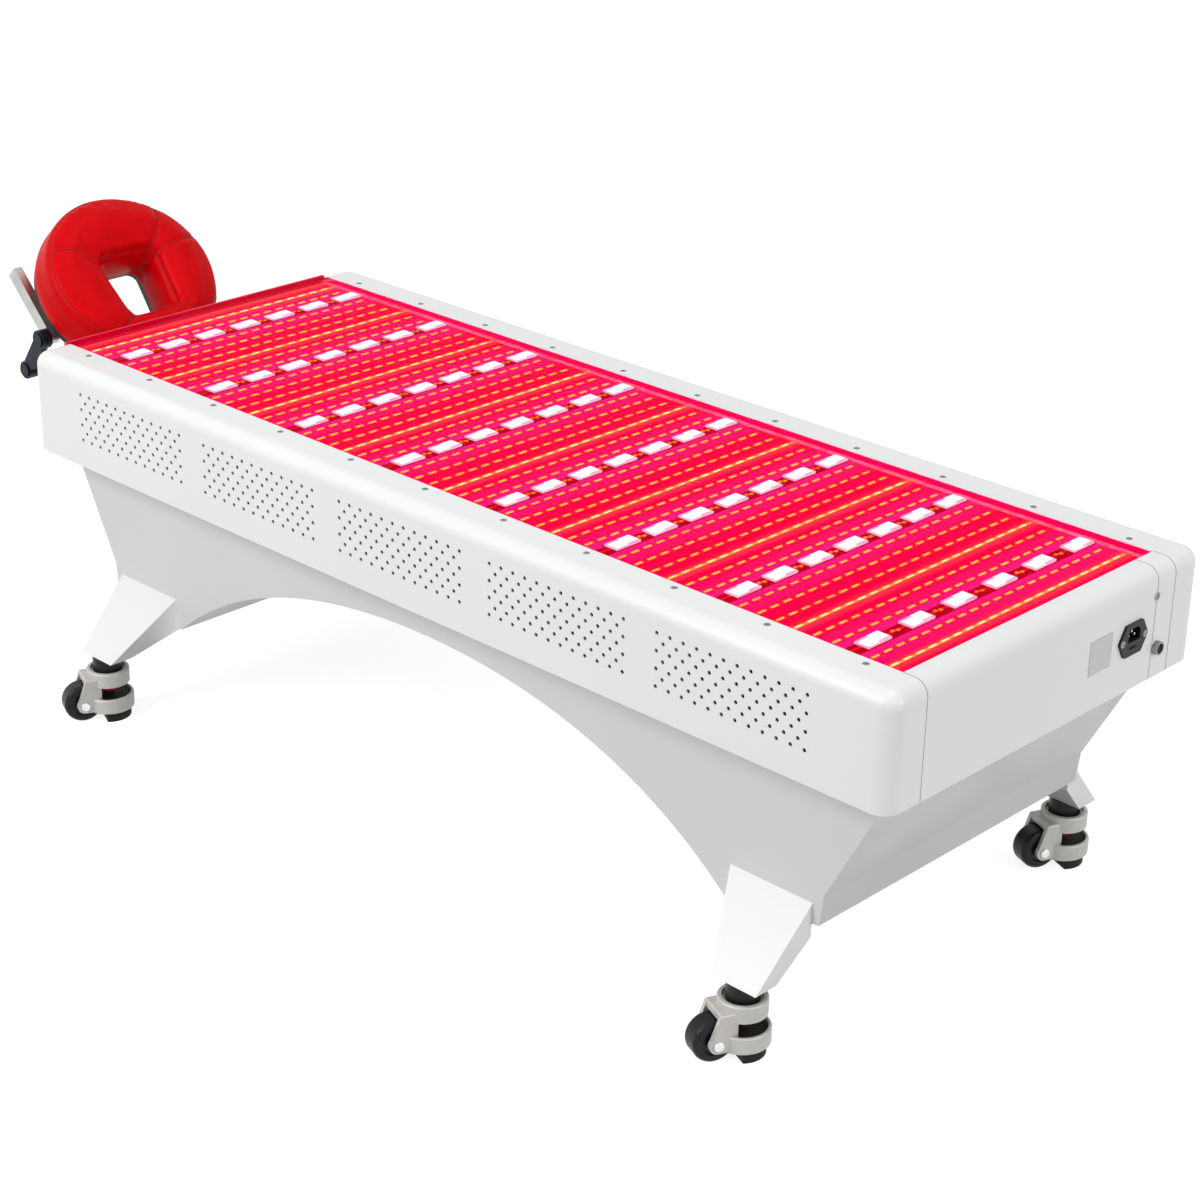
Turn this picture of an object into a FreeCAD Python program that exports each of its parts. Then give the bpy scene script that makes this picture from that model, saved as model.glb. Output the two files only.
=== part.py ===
import FreeCAD, Part
import math
import os
import re
from types import SimpleNamespace

import Sketcher
from FreeCAD import Placement, Rotation, Vector

# A red light therapy bed with a face cradle, in millimetres. +X runs from the head to
# the foot, -Y is the near side, +Z is up, and the origin is on the floor under the
# middle of the light box.

DRIVING_SIZES = (
    # Light box: white sheet-metal skin round a steel frame.
    ("deck_length", 1800), ("deck_width", 694), ("deck_height", 168), ("deck_underside", 418),
    ("skin_wall", 2), ("corner_radius", 27), ("edge_radius", 22),
    ("side_rim", 68), ("foot_rim", 40), ("head_trim", 9), ("trim_radius", 5),
    # Punched vent fields on both long sides.
    ("vent_fields", 5), ("vent_field_pitch", 318), ("vent_columns", 12), ("vent_rows", 7),
    ("vent_column_pitch", 23.4), ("vent_row_pitch", 13), ("vent_hole", 6), ("vent_drop", 81),
    ("vent_margin", 12),
    # Window and the light engine under it.
    ("window_thick", 8), ("window_lap", 25), ("window_foot_lap", 16), ("led_depth", 15),
    ("led_plate_thick", 3),
    ("led_rows", 8), ("led_row_pitch", 221.5), ("strips_per_row", 7), ("strip_width", 12),
    ("strip_thick", 1.6), ("strip_margin", 6), ("modules_per_row", 7), ("modules_last_row", 6),
    ("module_span", 456), ("module_length", 48), ("module_width", 24), ("module_thick", 3),
    ("module_offset", 16),
    # Steel frame, floor and electrics of the light box.
    ("rail_width", 30), ("rail_height", 40), ("rail_wall", 2), ("pan_thick", 3),
    ("cross_rails", 5), ("post_size", 30),
    ("driver_length", 220), ("driver_width", 80), ("driver_height", 42), ("driver_spacing", 330),
    ("driver_side", 150),
    ("board_length", 160), ("board_width", 100), ("board_thick", 2), ("standoff_height", 10),
    ("standoff_radius", 4), ("board_middle", 640),
    ("fan_size", 115), ("fan_depth", 25), ("fan_wall", 4), ("fan_hub", 19), ("fan_strut", 6),
    ("fan_plate", 4), ("fan_pin", 3), ("fan_blades", 7), ("blade_thick", 1.5), ("blade_width", 22),
    ("blade_angle", 40), ("fan_gap", 1.5),
    # Countersunk screws.
    ("rim_screws", 11), ("rim_screw_end", 88), ("rim_screw_inset", 14), ("screw_head", 4),
    ("screw_shank", 2), ("screw_length", 16), ("screw_clearance", 0.1),
    ("end_screw_side", 236), ("end_screw_drop", 42),
    # Fittings on the foot end.
    ("inlet_side", 182), ("inlet_drop", 88), ("inlet_width", 68), ("inlet_height", 48),
    ("inlet_top_width", 40), ("inlet_flange", 4), ("inlet_round", 3), ("inlet_screw_spacing", 54),
    ("inlet_depth", 30), ("inlet_wall", 3),
    ("socket_width", 29), ("socket_height", 20), ("socket_depth", 18), ("socket_lift", 7),
    ("socket_chamfer", 6), ("drawer_width", 28), ("drawer_height", 9), ("drawer_depth", 24),
    ("drawer_lift", -14), ("drawer_lip", 2), ("drawer_lip_width", 14), ("seat_gap", 0.3),
    ("control_side", 246), ("control_drop", 122), ("control_radius", 10), ("control_reach", 8),
    ("control_bore", 7.5), ("control_cup", 6), ("control_neck", 8), ("control_tail", 14),
    ("plate_width", 52), ("plate_height", 51), ("plate_side", 107), ("plate_drop", 88),
    ("plate_thick", 0.8),
    # Bridge-shaped base.
    ("base_wall", 2), ("base_end_inset", 34), ("base_side_inset", 52), ("fold_height", 233),
    ("fold_inset", 97), ("lip_inset", 5), ("lip_height", 186), ("arch_foot", 598),
    ("arch_foot_height", 164), ("arch_crown", 354), ("crown_reach", 377), ("spring_reach", 53),
    ("spring_rise", 43), ("flange_width", 50), ("bolt_radius", 4), ("bolt_length", 16),
    ("bolt_head", 7), ("bolt_head_height", 5), ("bolt_clearance", 0.4), ("thread_clearance", 0.05),
    ("flange_bolt_inner", 70), ("flange_bolt_outer", 200), ("bush_radius", 8),
    # Splayed box legs.
    ("leg_top", 216), ("leg_top_inner", 607), ("leg_top_outer", 752), ("leg_root_inner", 602),
    ("leg_root_outer", 752), ("leg_root", 164), ("leg_foot", 108), ("leg_foot_inner", 664),
    ("leg_foot_outer", 742), ("leg_foot_out", 392), ("leg_foot_in", 350), ("leg_wall", 5),
    ("leg_sole", 22), ("leg_bolt_height", 194), ("leg_bolt_inner", 640), ("leg_bolt_outer", 725),
    # Levelling casters.
    ("caster_yaw", -113), ("stem_radius", 6), ("stem_reach", 12), ("cap_radius", 24),
    ("cap_bottom", 82.3), ("spigot_radius", 18), ("spigot_drop", 10), ("guide_radius", 8),
    ("run_clearance", 0.05), ("ring_radius", 35.5), ("ring_top", 87), ("ring_bottom", 62),
    ("ring_recess", 29), ("ring_recess_depth", 5), ("ring_web", 8), ("soft_edge", 3),
    ("band_radius", 41), ("band_wall", 4.5), ("band_bottom", 16), ("band_top", 42),
    ("wheel_radius", 32), ("wheel_width", 35), ("wheel_trail", 46), ("wheel_shoulder", 7),
    ("wheel_clearance", 2.5), ("hub_recess", 3), ("hub_radius", 20), ("cheek_thick", 7),
    ("cheek_gap", 2), ("cheek_round", 13), ("cheek_back", 18), ("cheek_front", 44),
    ("hood_top", 77), ("axle_radius", 5), ("axle_head", 7.5), ("axle_head_height", 4),
    ("axle_head_round", 2), ("dial_radius", 17.5), ("dial_bottom", 49.5), ("dial_face", 56.5),
    ("dial_hub", 12), ("dial_top", 61.7), ("dial_grips", 12), ("dial_grip_radius", 1.6),
    ("pad_radius", 35), ("pad_height", 12),
    ("foot_radius", 34), ("foot_top", 38.5), ("foot_clearance", 2), ("stem_top", 69),
    # Face cradle.
    ("cradle_lean", 45), ("lower_pivot_reach", 268), ("rod_lift", 27), ("link_lead", 47),
    ("link_rise", 67), ("rod_side", 150), ("rod_radius", 10), ("rod_inside", 160),
    ("rod_socket_wall", 5), ("rod_socket_length", 120), ("rod_socket_flange", 22),
    ("rod_socket_lip", 4), ("shaft_radius", 11), ("lower_pin", 8),
    ("upper_pin", 9), ("pin_head", 12), ("pin_head_height", 5),
    ("arm_side", 154), ("arm_width", 16), ("arm_depth", 25), ("arm_length", 138), ("arm_wall", 2),
    ("arm_block", 34), ("side_gap", 1), ("link_thick", 18), ("link_upper_round", 17),
    ("link_lower_round", 16), ("link_waist", 11), ("boss_radius", 12), ("boss_height", 3),
    ("knob_radius", 16), ("knob_height", 18), ("knob_screw", 4), ("knob_screw_depth", 14),
    ("backing_thick", 12), ("backing_inset", 7), ("backing_hole_ease", 6),
    ("cushion_half", 163), ("cushion_rise", 37), ("cushion_top", 195), ("shoulder_radius", 120),
    ("cushion_band", 86), ("cushion_crown", 12), ("hole_top", 67), ("hole_bottom", -39),
    ("hole_top_width", 107), ("hole_bottom_width", 81), ("hole_round", 14),
)

# Lines and levels that several pieces share, each worked out from the sizes.
SHARED_LINES = (
    ("half_length", "deck_length / 2"), ("half_width", "deck_width / 2"),
    ("inner_half_length", "half_length - skin_wall"), ("inner_half_width", "half_width - skin_wall"),
    ("inner_edge", "edge_radius - skin_wall"), ("rail_foot", "inner_half_length - inner_edge"),
    ("deck_top", "deck_underside + deck_height"), ("rim_under", "deck_top - skin_wall"),
    ("window_bottom", "rim_under - window_thick"), ("window_half", "half_width - side_rim"),
    ("window_foot", "half_length - foot_rim"), ("window_head", "head_trim - half_length"),
    ("window_middle", "(window_foot + window_head) / 2"),
    ("rail_outer", "window_half + window_lap"), ("rail_inner", "rail_outer - rail_width"),
    ("rail_middle", "rail_outer - rail_width / 2"), ("rail_bottom", "window_bottom - rail_height"),
    ("plate_top", "deck_top - led_depth"), ("plate_bottom", "plate_top - led_plate_thick"),
    ("strip_top", "plate_top + strip_thick"), ("strip_pitch", "led_row_pitch / strips_per_row"),
    ("pan_top", "deck_underside + pan_thick"), ("pan_corner", "corner_radius - skin_wall"),
    ("cross_reach", "inner_half_length - rail_width / 2 - 2 * seat_gap"),
    ("cross_bottom", "plate_bottom - rail_height"),
    ("board_bottom", "pan_top + standoff_height"),
    ("fan_front", "fan_depth - inner_half_width"), ("fan_level", "pan_top + fan_size / 2"),
    ("fan_mouth", "fan_size / 2 - fan_wall"), ("fan_hub_face", "fan_front - fan_plate"),
    ("rotor_back", "fan_gap - inner_half_width"), ("rotor_front", "fan_hub_face - fan_gap"),
    ("screw_line", "window_half + rim_screw_inset"), ("screw_taper", "screw_head - screw_shank"),
    ("screw_pitch", "(deck_length - 2 * rim_screw_end) / (rim_screws - 1)"),
    ("end_screw_level", "deck_top - end_screw_drop"),
    ("inlet_level", "deck_top - inlet_drop"), ("inlet_face", "half_length + inlet_flange"),
    ("drawer_level", "inlet_level + drawer_lift"), ("drawer_back", "inlet_face - drawer_depth"),
    ("control_level", "deck_top - control_drop"), ("plate_level", "deck_top - plate_drop"),
    ("base_half", "half_length - base_end_inset"), ("base_side", "half_width - base_side_inset"),
    ("base_inner", "base_side - base_wall"), ("flange_under", "deck_underside - base_wall"),
    ("fold_line", "base_half - fold_inset"), ("lip_line", "fold_line - lip_inset"),
    ("flange_bolt_line", "base_half - flange_width / 2"), ("bush_top", "flange_under + bolt_length"),
    ("bolt_room", "bolt_radius + bolt_clearance"), ("bolt_thread", "bolt_radius + thread_clearance"),
    ("leg_root_wall", "base_inner + bolt_length"),
    ("caster_x", "(leg_foot_inner + leg_foot_outer) / 2"), ("caster_y", "(leg_foot_in + leg_foot_out) / 2"),
    ("cheek_inner", "wheel_width / 2 + cheek_gap"), ("cheek_outer", "cheek_inner + cheek_thick"),
    ("axle_end", "cheek_outer + axle_head_height"), ("guide_bore", "guide_radius + run_clearance"),
    ("foot_flat", "wheel_trail - wheel_radius - foot_clearance"),
    ("lower_pivot_line", "-half_length - lower_pivot_reach"),
    ("lower_pivot_level", "deck_underside + rod_lift"),
    ("upper_pivot_line", "lower_pivot_line + link_lead"),
    ("upper_pivot_level", "lower_pivot_level + link_rise"),
    ("rod_bore", "rod_radius + run_clearance"), ("socket_radius", "rod_bore + rod_socket_wall"),
    ("arm_inner", "arm_side - arm_width / 2"), ("arm_outer", "arm_side + arm_width / 2"),
    ("link_inner", "arm_outer + side_gap"), ("link_outer", "link_inner + link_thick"),
    ("pin_end", "link_outer - side_gap / 2"), ("pin_bore", "upper_pin + run_clearance"),
    ("boss_face", "link_outer + boss_height"), ("knob_face", "boss_face + seat_gap"),
    ("knob_bore", "knob_screw + run_clearance"), ("knob_bore_end", "pin_end - knob_screw_depth"),
    ("backing_back", "arm_depth / 2"), ("backing_front", "backing_back + backing_thick"),
)

doc = FreeCAD.newDocument("red_light_therapy_bed")
sheet = doc.addObject("Spreadsheet::Sheet", "sizes")
for row, (alias, size) in enumerate(DRIVING_SIZES, start=1):
    sheet.set("A%d" % row, alias)
    sheet.set("B%d" % row, str(size))
    sheet.setAlias("B%d" % row, alias)
doc.recompute()

holder = {alias: "sizes." for alias, _ in DRIVING_SIZES}


def full(formula):
    """A formula in plain words, written out with the object that holds each word."""
    return re.sub("[a-z_]+", lambda word: holder.get(word.group(), "") + word.group(), formula)


lines = doc.addObject("App::VarSet", "lines")
for line, formula in SHARED_LINES:
    lines.addProperty("App::PropertyFloat", line)
    lines.setExpression(line, full(formula))
doc.recompute()
holder.update((line, "lines.") for line, _ in SHARED_LINES)
d = SimpleNamespace(**{alias: float(sheet.get(alias)) for alias, _ in DRIVING_SIZES},
                    **{line: getattr(lines, line) for line, _ in SHARED_LINES})

ALONG_X = Vector(1, 0, 0)
ALONG_Y = Vector(0, 1, 0)
ALONG_Z = Vector(0, 0, 1)
AXIS_TURN = {"X": Rotation(ALONG_Y, 90), "Y": Rotation(ALONG_X, -90), "Z": Rotation()}
NEAR, FAR = -1, 1
HEAD, FOOT = -1, 1
SIDES = (("near", NEAR), ("far", FAR))
CORNERS = (("near_head", HEAD, NEAR), ("far_head", HEAD, FAR),
           ("near_foot", FOOT, NEAR), ("far_foot", FOOT, FAR))
parts = []


# Formulas for places: about a middle, on one side, and signed.

def about(middle, width):
    return "%s - %s / 2" % (middle, width), "%s + %s / 2" % (middle, width)


def signed(side, formula):
    return "%d * (%s)" % (side, formula)


def on_side(side, inner, outer):
    return tuple(signed(side, line) for line in ((inner, outer) if side > 0 else (outer, inner)))


# Document objects bound to the sheet.

def bind(piece, **formulas):
    for name, formula in formulas.items():
        piece.setExpression(name, full(formula))


def place(piece, x, y, z, turn=Rotation()):
    piece.Placement = Placement(Vector(), turn)
    for axis, formula in zip("xyz", (x, y, z)):
        piece.setExpression("Placement.Base." + axis, full(formula))
    return piece


def block(name, x, y, z):
    """A box between two limits along each axis."""
    piece = doc.addObject("Part::Box", name)
    length, width, height = ["(%s) - (%s)" % (high, low) for low, high in (x, y, z)]
    bind(piece, Length=length, Width=width, Height=height)
    return place(piece, x[0], y[0], z[0])


def along(axis, span, at):
    """The place of a straight piece that starts at span's first limit of its axis."""
    others = list(at)
    return [span[0] if axis == letter else others.pop(0) for letter in "XYZ"]


def cylinder(name, radius, axis, span, at):
    piece = doc.addObject("Part::Cylinder", name)
    bind(piece, Radius=radius, Height="(%s) - (%s)" % (span[1], span[0]))
    return place(piece, *along(axis, span, at), AXIS_TURN[axis])


def hexagon(name, radius, axis, span, at):
    piece = doc.addObject("Part::Prism", name)
    piece.Polygon = 6
    bind(piece, Circumradius=radius, Height="(%s) - (%s)" % (span[1], span[0]))
    return place(piece, *along(axis, span, at), AXIS_TURN[axis])


def fuse(name, *shapes):
    piece = doc.addObject("Part::MultiFuse", name)
    piece.Shapes = list(shapes)
    piece.Refine = True
    return piece


def cut(name, base, *tools):
    piece = doc.addObject("Part::Cut", name)
    piece.Base = base
    piece.Tool = tools[0] if len(tools) == 1 else fuse(name + "_room", *tools)
    return piece


def group(name, shapes):
    piece = doc.addObject("Part::Compound", name)
    piece.Links = list(shapes)
    return piece


def outline(body, points):
    """A sketch on a body's XZ plane whose every corner is bound to two formulas."""
    sketch = body.newObject("Sketcher::SketchObject", body.Name + "_outline")
    upright = next(plane for plane in body.Origin.OriginFeatures if plane.Role == "XZ_Plane")
    sketch.AttachmentSupport = [(upright, "")]
    sketch.MapMode = "FlatFace"
    corners = []
    for across, up in points:
        start = [float(sheet.evalExpression(full(formula))) for formula in (across, up)]
        corners.append(Vector(*start, 0))
    for i, corner in enumerate(corners):
        sketch.addGeometry(Part.LineSegment(corners[i - 1], corner))
    for i, point in enumerate(points):
        sketch.addConstraint(Sketcher.Constraint("Coincident", i - 1 if i else len(points) - 1, 2, i, 1))
        for kind, formula, size in zip(("DistanceX", "DistanceY"), point, corners[i]):
            number = sketch.addConstraint(Sketcher.Constraint(kind, -1, 1, i, 2, size))
            sketch.setExpression("Constraints[%d]" % number, full(formula))
    return sketch


def spun(name, profile, axis="Z", at=("0", "0", "0")):
    """A body of revolution from pairs of radius and distance along its axis."""
    body = doc.addObject("PartDesign::Body", name)
    turned = body.newObject("PartDesign::Revolution", name + "_turned")
    turned.Profile = outline(body, profile)
    turned.ReferenceAxis = (turned.Profile[0], ["V_Axis"])
    turned.Angle = 360
    return place(body, *at, AXIS_TURN[axis])


def padded(name, points, width):
    """A body with one outline in X and Z, padded evenly to both sides of the middle."""
    body = doc.addObject("PartDesign::Body", name)
    pad = body.newObject("PartDesign::Pad", name + "_pad")
    pad.Profile = outline(body, points)
    pad.Midplane = True
    bind(pad, Length=width)
    return body


def rounded(body, radius, chosen):
    """Rounds the edges of a body's last feature that the test chosen picks out."""
    doc.recompute()
    last = body.Tip
    names = ["Edge%d" % number for number, edge in enumerate(last.Shape.Edges, start=1) if chosen(edge)]
    fillet = body.newObject("PartDesign::Fillet", body.Name + "_rounding")
    fillet.Base = (last, names)
    bind(fillet, Radius=radius)
    return body


def ring_edge(radius, level):
    """A test for the circular edge of one radius at one distance along a turned body's axis."""
    def chosen(edge):
        box = edge.BoundBox
        level_ring = edge.Closed and abs(box.ZMin - level) + abs(box.ZLength) < 0.001
        return level_ring and abs(box.XMax - radius) < 0.001
    return chosen


def node(piece):
    """Counts a document object as one of the bed's sub-parts."""
    piece.Label = piece.Name
    parts.append(piece)
    return piece


# Shapes worked out in code, for sheet metal, lofts and castings.

def span_box(x0, x1, y0, y1, z0, z1):
    return Part.makeBox(x1 - x0, y1 - y0, z1 - z0, Vector(x0, y0, z0))


def rod(radius, start, end):
    return Part.makeCylinder(radius, (end - start).Length, start, end - start)


def polygon(points):
    return Part.makePolygon(points + [points[0]])


def prism(wire, reach):
    return Part.Face(wire).extrude(reach)


def join(shapes):
    return shapes[0].multiFuse(shapes[1:]).removeSplitter()


def carve(solid, tools):
    for tool in tools:
        solid = solid.cut(tool)
    return solid


def rounded_wire(points, radius):
    """A closed outline with straight sides and the same round at every corner."""
    edges = []
    ends = []
    for i, corner in enumerate(points):
        back = (points[i - 1] - corner).normalize()
        ahead = (points[(i + 1) % len(points)] - corner).normalize()
        half = back.getAngle(ahead) / 2
        start = corner + back * (radius / math.tan(half))
        stop = corner + ahead * (radius / math.tan(half))
        middle = corner + (back + ahead).normalize() * (radius / math.sin(half) - radius)
        ends.append((start, stop))
        edges.append(Part.Arc(start, middle, stop).toShape())
    for i, (start, stop) in enumerate(ends):
        edges.append(Part.makeLine(ends[i - 1][1], start))
    return Part.Wire(Part.__sortEdges__(edges))


def tapered_block(start, stop):
    """A solid between two outlines with as many corners, its sides ruled from edge to edge."""
    faces = [Part.Face(polygon(start)), Part.Face(polygon(stop))]
    for i in range(len(start)):
        edges = [Part.makeLine(points[i - 1], points[i]) for points in (start, stop)]
        faces.append(Part.makeRuledSurface(*edges))
    shell = Part.Shell(faces)
    shell.sewShape()
    solid = Part.Solid(shell)
    if solid.Volume < 0:
        solid.reverse()
    return solid


def shaped(name, shape):
    """A document object that holds a shape worked out in code."""
    piece = doc.addObject("Part::Feature", name)
    piece.Shape = shape
    return piece


# Screws: countersunk, each with the room that its head and shank need.

def screw_profile(ease):
    """Head up at zero, shank along minus: the ease widens it into the screw's room."""
    head, shank = "screw_head + 2 * (%s)" % ease, "screw_shank + (%s)" % ease
    tip = "-screw_length - 10 * (%s)" % ease
    return [("0", ease), (head, ease), (shank, "-screw_taper"), (shank, tip), ("0", tip)]


screws = []


def screw_and_room(name, axis, at):
    screws.append(spun(name, screw_profile("0 * screw_clearance"), axis, at))
    return spun(name + "_room", screw_profile("screw_clearance"), axis, at)


rim_room = {}
for side_name, side in SIDES:
    rooms = []
    for i in range(int(d.rim_screws)):
        along_rim = "rim_screw_end - half_length + %d * screw_pitch" % i
        at = (along_rim, signed(side, "screw_line"), "deck_top")
        rooms.append(screw_and_room("%s_rim_screw_%d" % (side_name, i), "Z", at))
    rim_room[side] = group(side_name + "_rim_room", rooms)
end_screw_room = screw_and_room("end_screw", "X", ("half_length", "end_screw_side", "end_screw_level"))
inlet_screw_rooms = []
for side_name, side in SIDES:
    at = ("inlet_face", "inlet_side + %d * inlet_screw_spacing / 2" % side, "inlet_level")
    inlet_screw_rooms.append(screw_and_room(side_name + "_inlet_screw", "X", at))
node(group("panel_screws", screws))
doc.recompute()


# Light box skin: one rounded box, opened at the window and parted into panels.

def rounded_box(half_x, half_y, bottom, top, corner, edge):
    box = span_box(-half_x, half_x, -half_y, half_y, bottom, top)
    box = box.makeFillet(corner, [e for e in box.Edges if e.BoundBox.ZLength > 1])
    return box.makeFillet(edge, [e for e in box.Edges if e.BoundBox.ZMin > top - 0.001])


outside = rounded_box(d.half_length, d.half_width, d.deck_underside, d.deck_top,
                      d.corner_radius, d.edge_radius)
inside = rounded_box(d.inner_half_length, d.inner_half_width, d.deck_underside - d.skin_wall, d.rim_under,
                     d.corner_radius - d.skin_wall, d.inner_edge)
skin = outside.cut(inside)


def vent_centres():
    """Hole centres of the staggered vent fields, as X and Z."""
    centres = []
    for field in range(int(d.vent_fields)):
        field_x = (field - (d.vent_fields - 1) / 2) * d.vent_field_pitch
        for line in range(int(d.vent_rows)):
            count = int(d.vent_columns) - line % 2
            z = d.deck_top - d.vent_drop + ((d.vent_rows - 1) / 2 - line) * d.vent_row_pitch
            for column in range(count):
                centres.append((field_x + (column - (count - 1) / 2) * d.vent_column_pitch, z))
    return centres


def vent_sheet(y):
    """The flat stretch of a side with its punched holes, and the box that it replaces."""
    holes = vent_centres()
    reach = d.vent_hole / 2 + d.vent_margin
    left, right = min(x for x, z in holes) - reach, max(x for x, z in holes) + reach
    low, high = min(z for x, z in holes) - reach, max(z for x, z in holes) + reach
    corners = [(left, low), (right, low), (right, high), (left, high)]
    wires = [polygon([Vector(x, y, z) for x, z in corners])]
    for x, z in holes:
        wires.append(Part.Wire(Part.makeCircle(d.vent_hole / 2, Vector(x, y, z), ALONG_Y)))
    punched = Part.Face(wires, "Part::FaceMakerCheese").extrude(ALONG_Y * d.skin_wall)
    return punched, span_box(left, right, y, y + d.skin_wall, low, high)


for side_name, side in SIDES:
    y0, y1 = sorted((side * d.window_half, side * d.half_width))
    panel = skin.common(span_box(-d.half_length, d.half_length, y0, y1, d.deck_underside, d.deck_top))
    punched, plain = vent_sheet(-d.half_width if side == NEAR else d.inner_half_width)
    panel = panel.cut(plain).fuse(punched).removeSplitter()
    node(shaped(side_name + "_side_panel", panel.cut(rim_room[side].Shape)))

inlet_reach_y = d.socket_width / 2 + d.inlet_wall
inlet_low = d.drawer_level - d.drawer_height / 2 - d.inlet_wall
inlet_high = d.inlet_level + d.socket_lift + d.socket_height / 2 + d.inlet_wall
inlet_opening = span_box(d.window_foot, d.half_length + d.skin_wall, d.inlet_side - inlet_reach_y,
                         d.inlet_side + inlet_reach_y, inlet_low, inlet_high)
control_place = Vector(d.half_length, d.control_side, d.control_level)
control_opening = rod(d.control_neck, control_place - ALONG_X * d.foot_rim,
                      control_place + ALONG_X * d.skin_wall)
foot_panel = skin.common(span_box(d.window_foot, d.half_length, -d.window_half, d.window_half,
                                  d.deck_underside, d.deck_top))
foot_rooms = [inlet_opening, control_opening, end_screw_room.Shape]
foot_rooms += [room.Shape for room in inlet_screw_rooms]
node(shaped("foot_end_panel", carve(foot_panel, foot_rooms)))

head_sheet = block("head_sheet", ("-half_length", "-inner_half_length"), ("-window_half", "window_half"),
                   ("deck_underside", "window_bottom"))
sleeve_rooms = [cylinder(side_name + "_sleeve_room", "socket_radius + run_clearance", "X",
                         ("-half_length - skin_wall", "-inner_half_length + skin_wall"),
                         (signed(side, "rod_side"), "lower_pivot_level")) for side_name, side in SIDES]
node(cut("head_end_panel", head_sheet, *sleeve_rooms))

trim_outline = [("-half_length", "window_bottom"), ("window_head", "window_bottom"),
                ("window_head", "deck_top"), ("-half_length", "deck_top")]
trim = padded("head_edge_trim", trim_outline, "2 * window_half")


def top_outer_edge(edge):
    box = edge.BoundBox
    return box.ZMin > d.deck_top - 0.001 and box.XMax < -d.half_length + 0.001


node(rounded(trim, "trim_radius", top_outer_edge))


# Floor pan with rounded corners, and threaded bushes for the bolts that hold the base.

flange_bolts = [(signed(end, "flange_bolt_line"), signed(side, line)) for end in (HEAD, FOOT)
                for side in (NEAR, FAR) for line in ("flange_bolt_inner", "flange_bolt_outer")]
pan_level = ("deck_underside", "pan_top")
pan_pieces = [block("pan_middle", ("-inner_half_length + pan_corner", "inner_half_length - pan_corner"),
                    ("-inner_half_width", "inner_half_width"), pan_level),
              block("pan_length", ("-inner_half_length", "inner_half_length"),
                    ("-inner_half_width + pan_corner", "inner_half_width - pan_corner"), pan_level)]
for corner, end, side in CORNERS:
    at = (signed(end, "inner_half_length - pan_corner"), signed(side, "inner_half_width - pan_corner"))
    pan_pieces.append(cylinder("pan_corner_" + corner, "pan_corner", "Z", pan_level, at))
for i, at in enumerate(flange_bolts):
    pan_pieces.append(cylinder("bush_%d" % i, "bush_radius", "Z", ("deck_underside", "bush_top"), at))
bore_span = ("flange_under", "bush_top + bolt_clearance")
bush_bores = [cylinder("bush_bore_%d" % i, "bolt_thread", "Z", bore_span, at)
              for i, at in enumerate(flange_bolts)]
node(cut("deck_floor_pan", fuse("pan_sheet", *pan_pieces), *bush_bores))


# Frame: long rails under the window's edges, cross rails under the plate, posts to the pan.

frame = []
for side_name, side in SIDES:
    ends = ("-inner_half_length + head_trim", "rail_foot")
    tube = block(side_name + "_rail", ends, on_side(side, "rail_inner", "rail_outer"),
                 ("rail_bottom", "window_bottom"))
    bore = block(side_name + "_rail_bore", ends,
                 on_side(side, "rail_inner + rail_wall", "rail_outer - rail_wall"),
                 ("rail_bottom + rail_wall", "window_bottom - rail_wall"))
    frame.append(cut(side_name + "_long_rail", tube, bore, rim_room[side]))
    for i, middle in enumerate(("rail_width - cross_reach", "0 * cross_reach", "cross_reach")):
        frame.append(block("%s_post_%d" % (side_name, i), about(middle, "post_size"),
                           about(signed(side, "rail_middle"), "post_size"), ("pan_top", "rail_bottom")))
cross_count = int(d.cross_rails)
for i in range(cross_count):
    middle = "cross_reach * (%d * 2 / (cross_rails - 1) - 1)" % i
    tube = block("cross_tube_%d" % i, about(middle, "rail_width"), ("-rail_inner", "rail_inner"),
                 ("cross_bottom", "plate_bottom"))
    rooms = [block("cross_bore_%d" % i, about(middle, "(rail_width - 2 * rail_wall)"),
                   ("-rail_inner", "rail_inner"), ("cross_bottom + rail_wall", "plate_bottom - rail_wall"))]
    if i == cross_count - 1:
        rooms.append(end_screw_room)
    frame.append(cut("cross_rail_%d" % i, tube, *rooms))
node(group("deck_frame", frame))


# Window: clear sheet with a rebated edge clamped under the rims, its lying surface flush with them.

tongue = block("window_tongue", ("-rail_foot", "window_foot + window_foot_lap"),
               ("-rail_outer", "rail_outer"), ("window_bottom", "rim_under"))
lying_face = block("window_face", ("window_head", "window_foot - seat_gap"),
                   ("seat_gap - window_half", "window_half - seat_gap"), ("window_bottom", "deck_top"))
node(cut("acrylic_window", fuse("window_sheet", tongue, lying_face), rim_room[NEAR], rim_room[FAR]))


# Light engine: aluminium plate, cross strips and the rows of bright modules.

node(block("led_plate", ("window_head", "window_foot"), ("seat_gap - rail_inner", "rail_inner - seat_gap"),
           ("plate_bottom", "plate_top")))

strips = []
strip_count = int((d.window_foot - d.window_head - d.strip_width) / d.strip_pitch)
for i in range(strip_count):
    middle = "window_middle + %g * strip_pitch" % (i - (strip_count - 1) / 2)
    strips.append(block("led_strip_%d" % i, about(middle, "strip_width"),
                        ("strip_margin - rail_inner", "rail_inner - strip_margin"),
                        ("plate_top", "strip_top")))
node(group("led_strips", strips))

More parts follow.
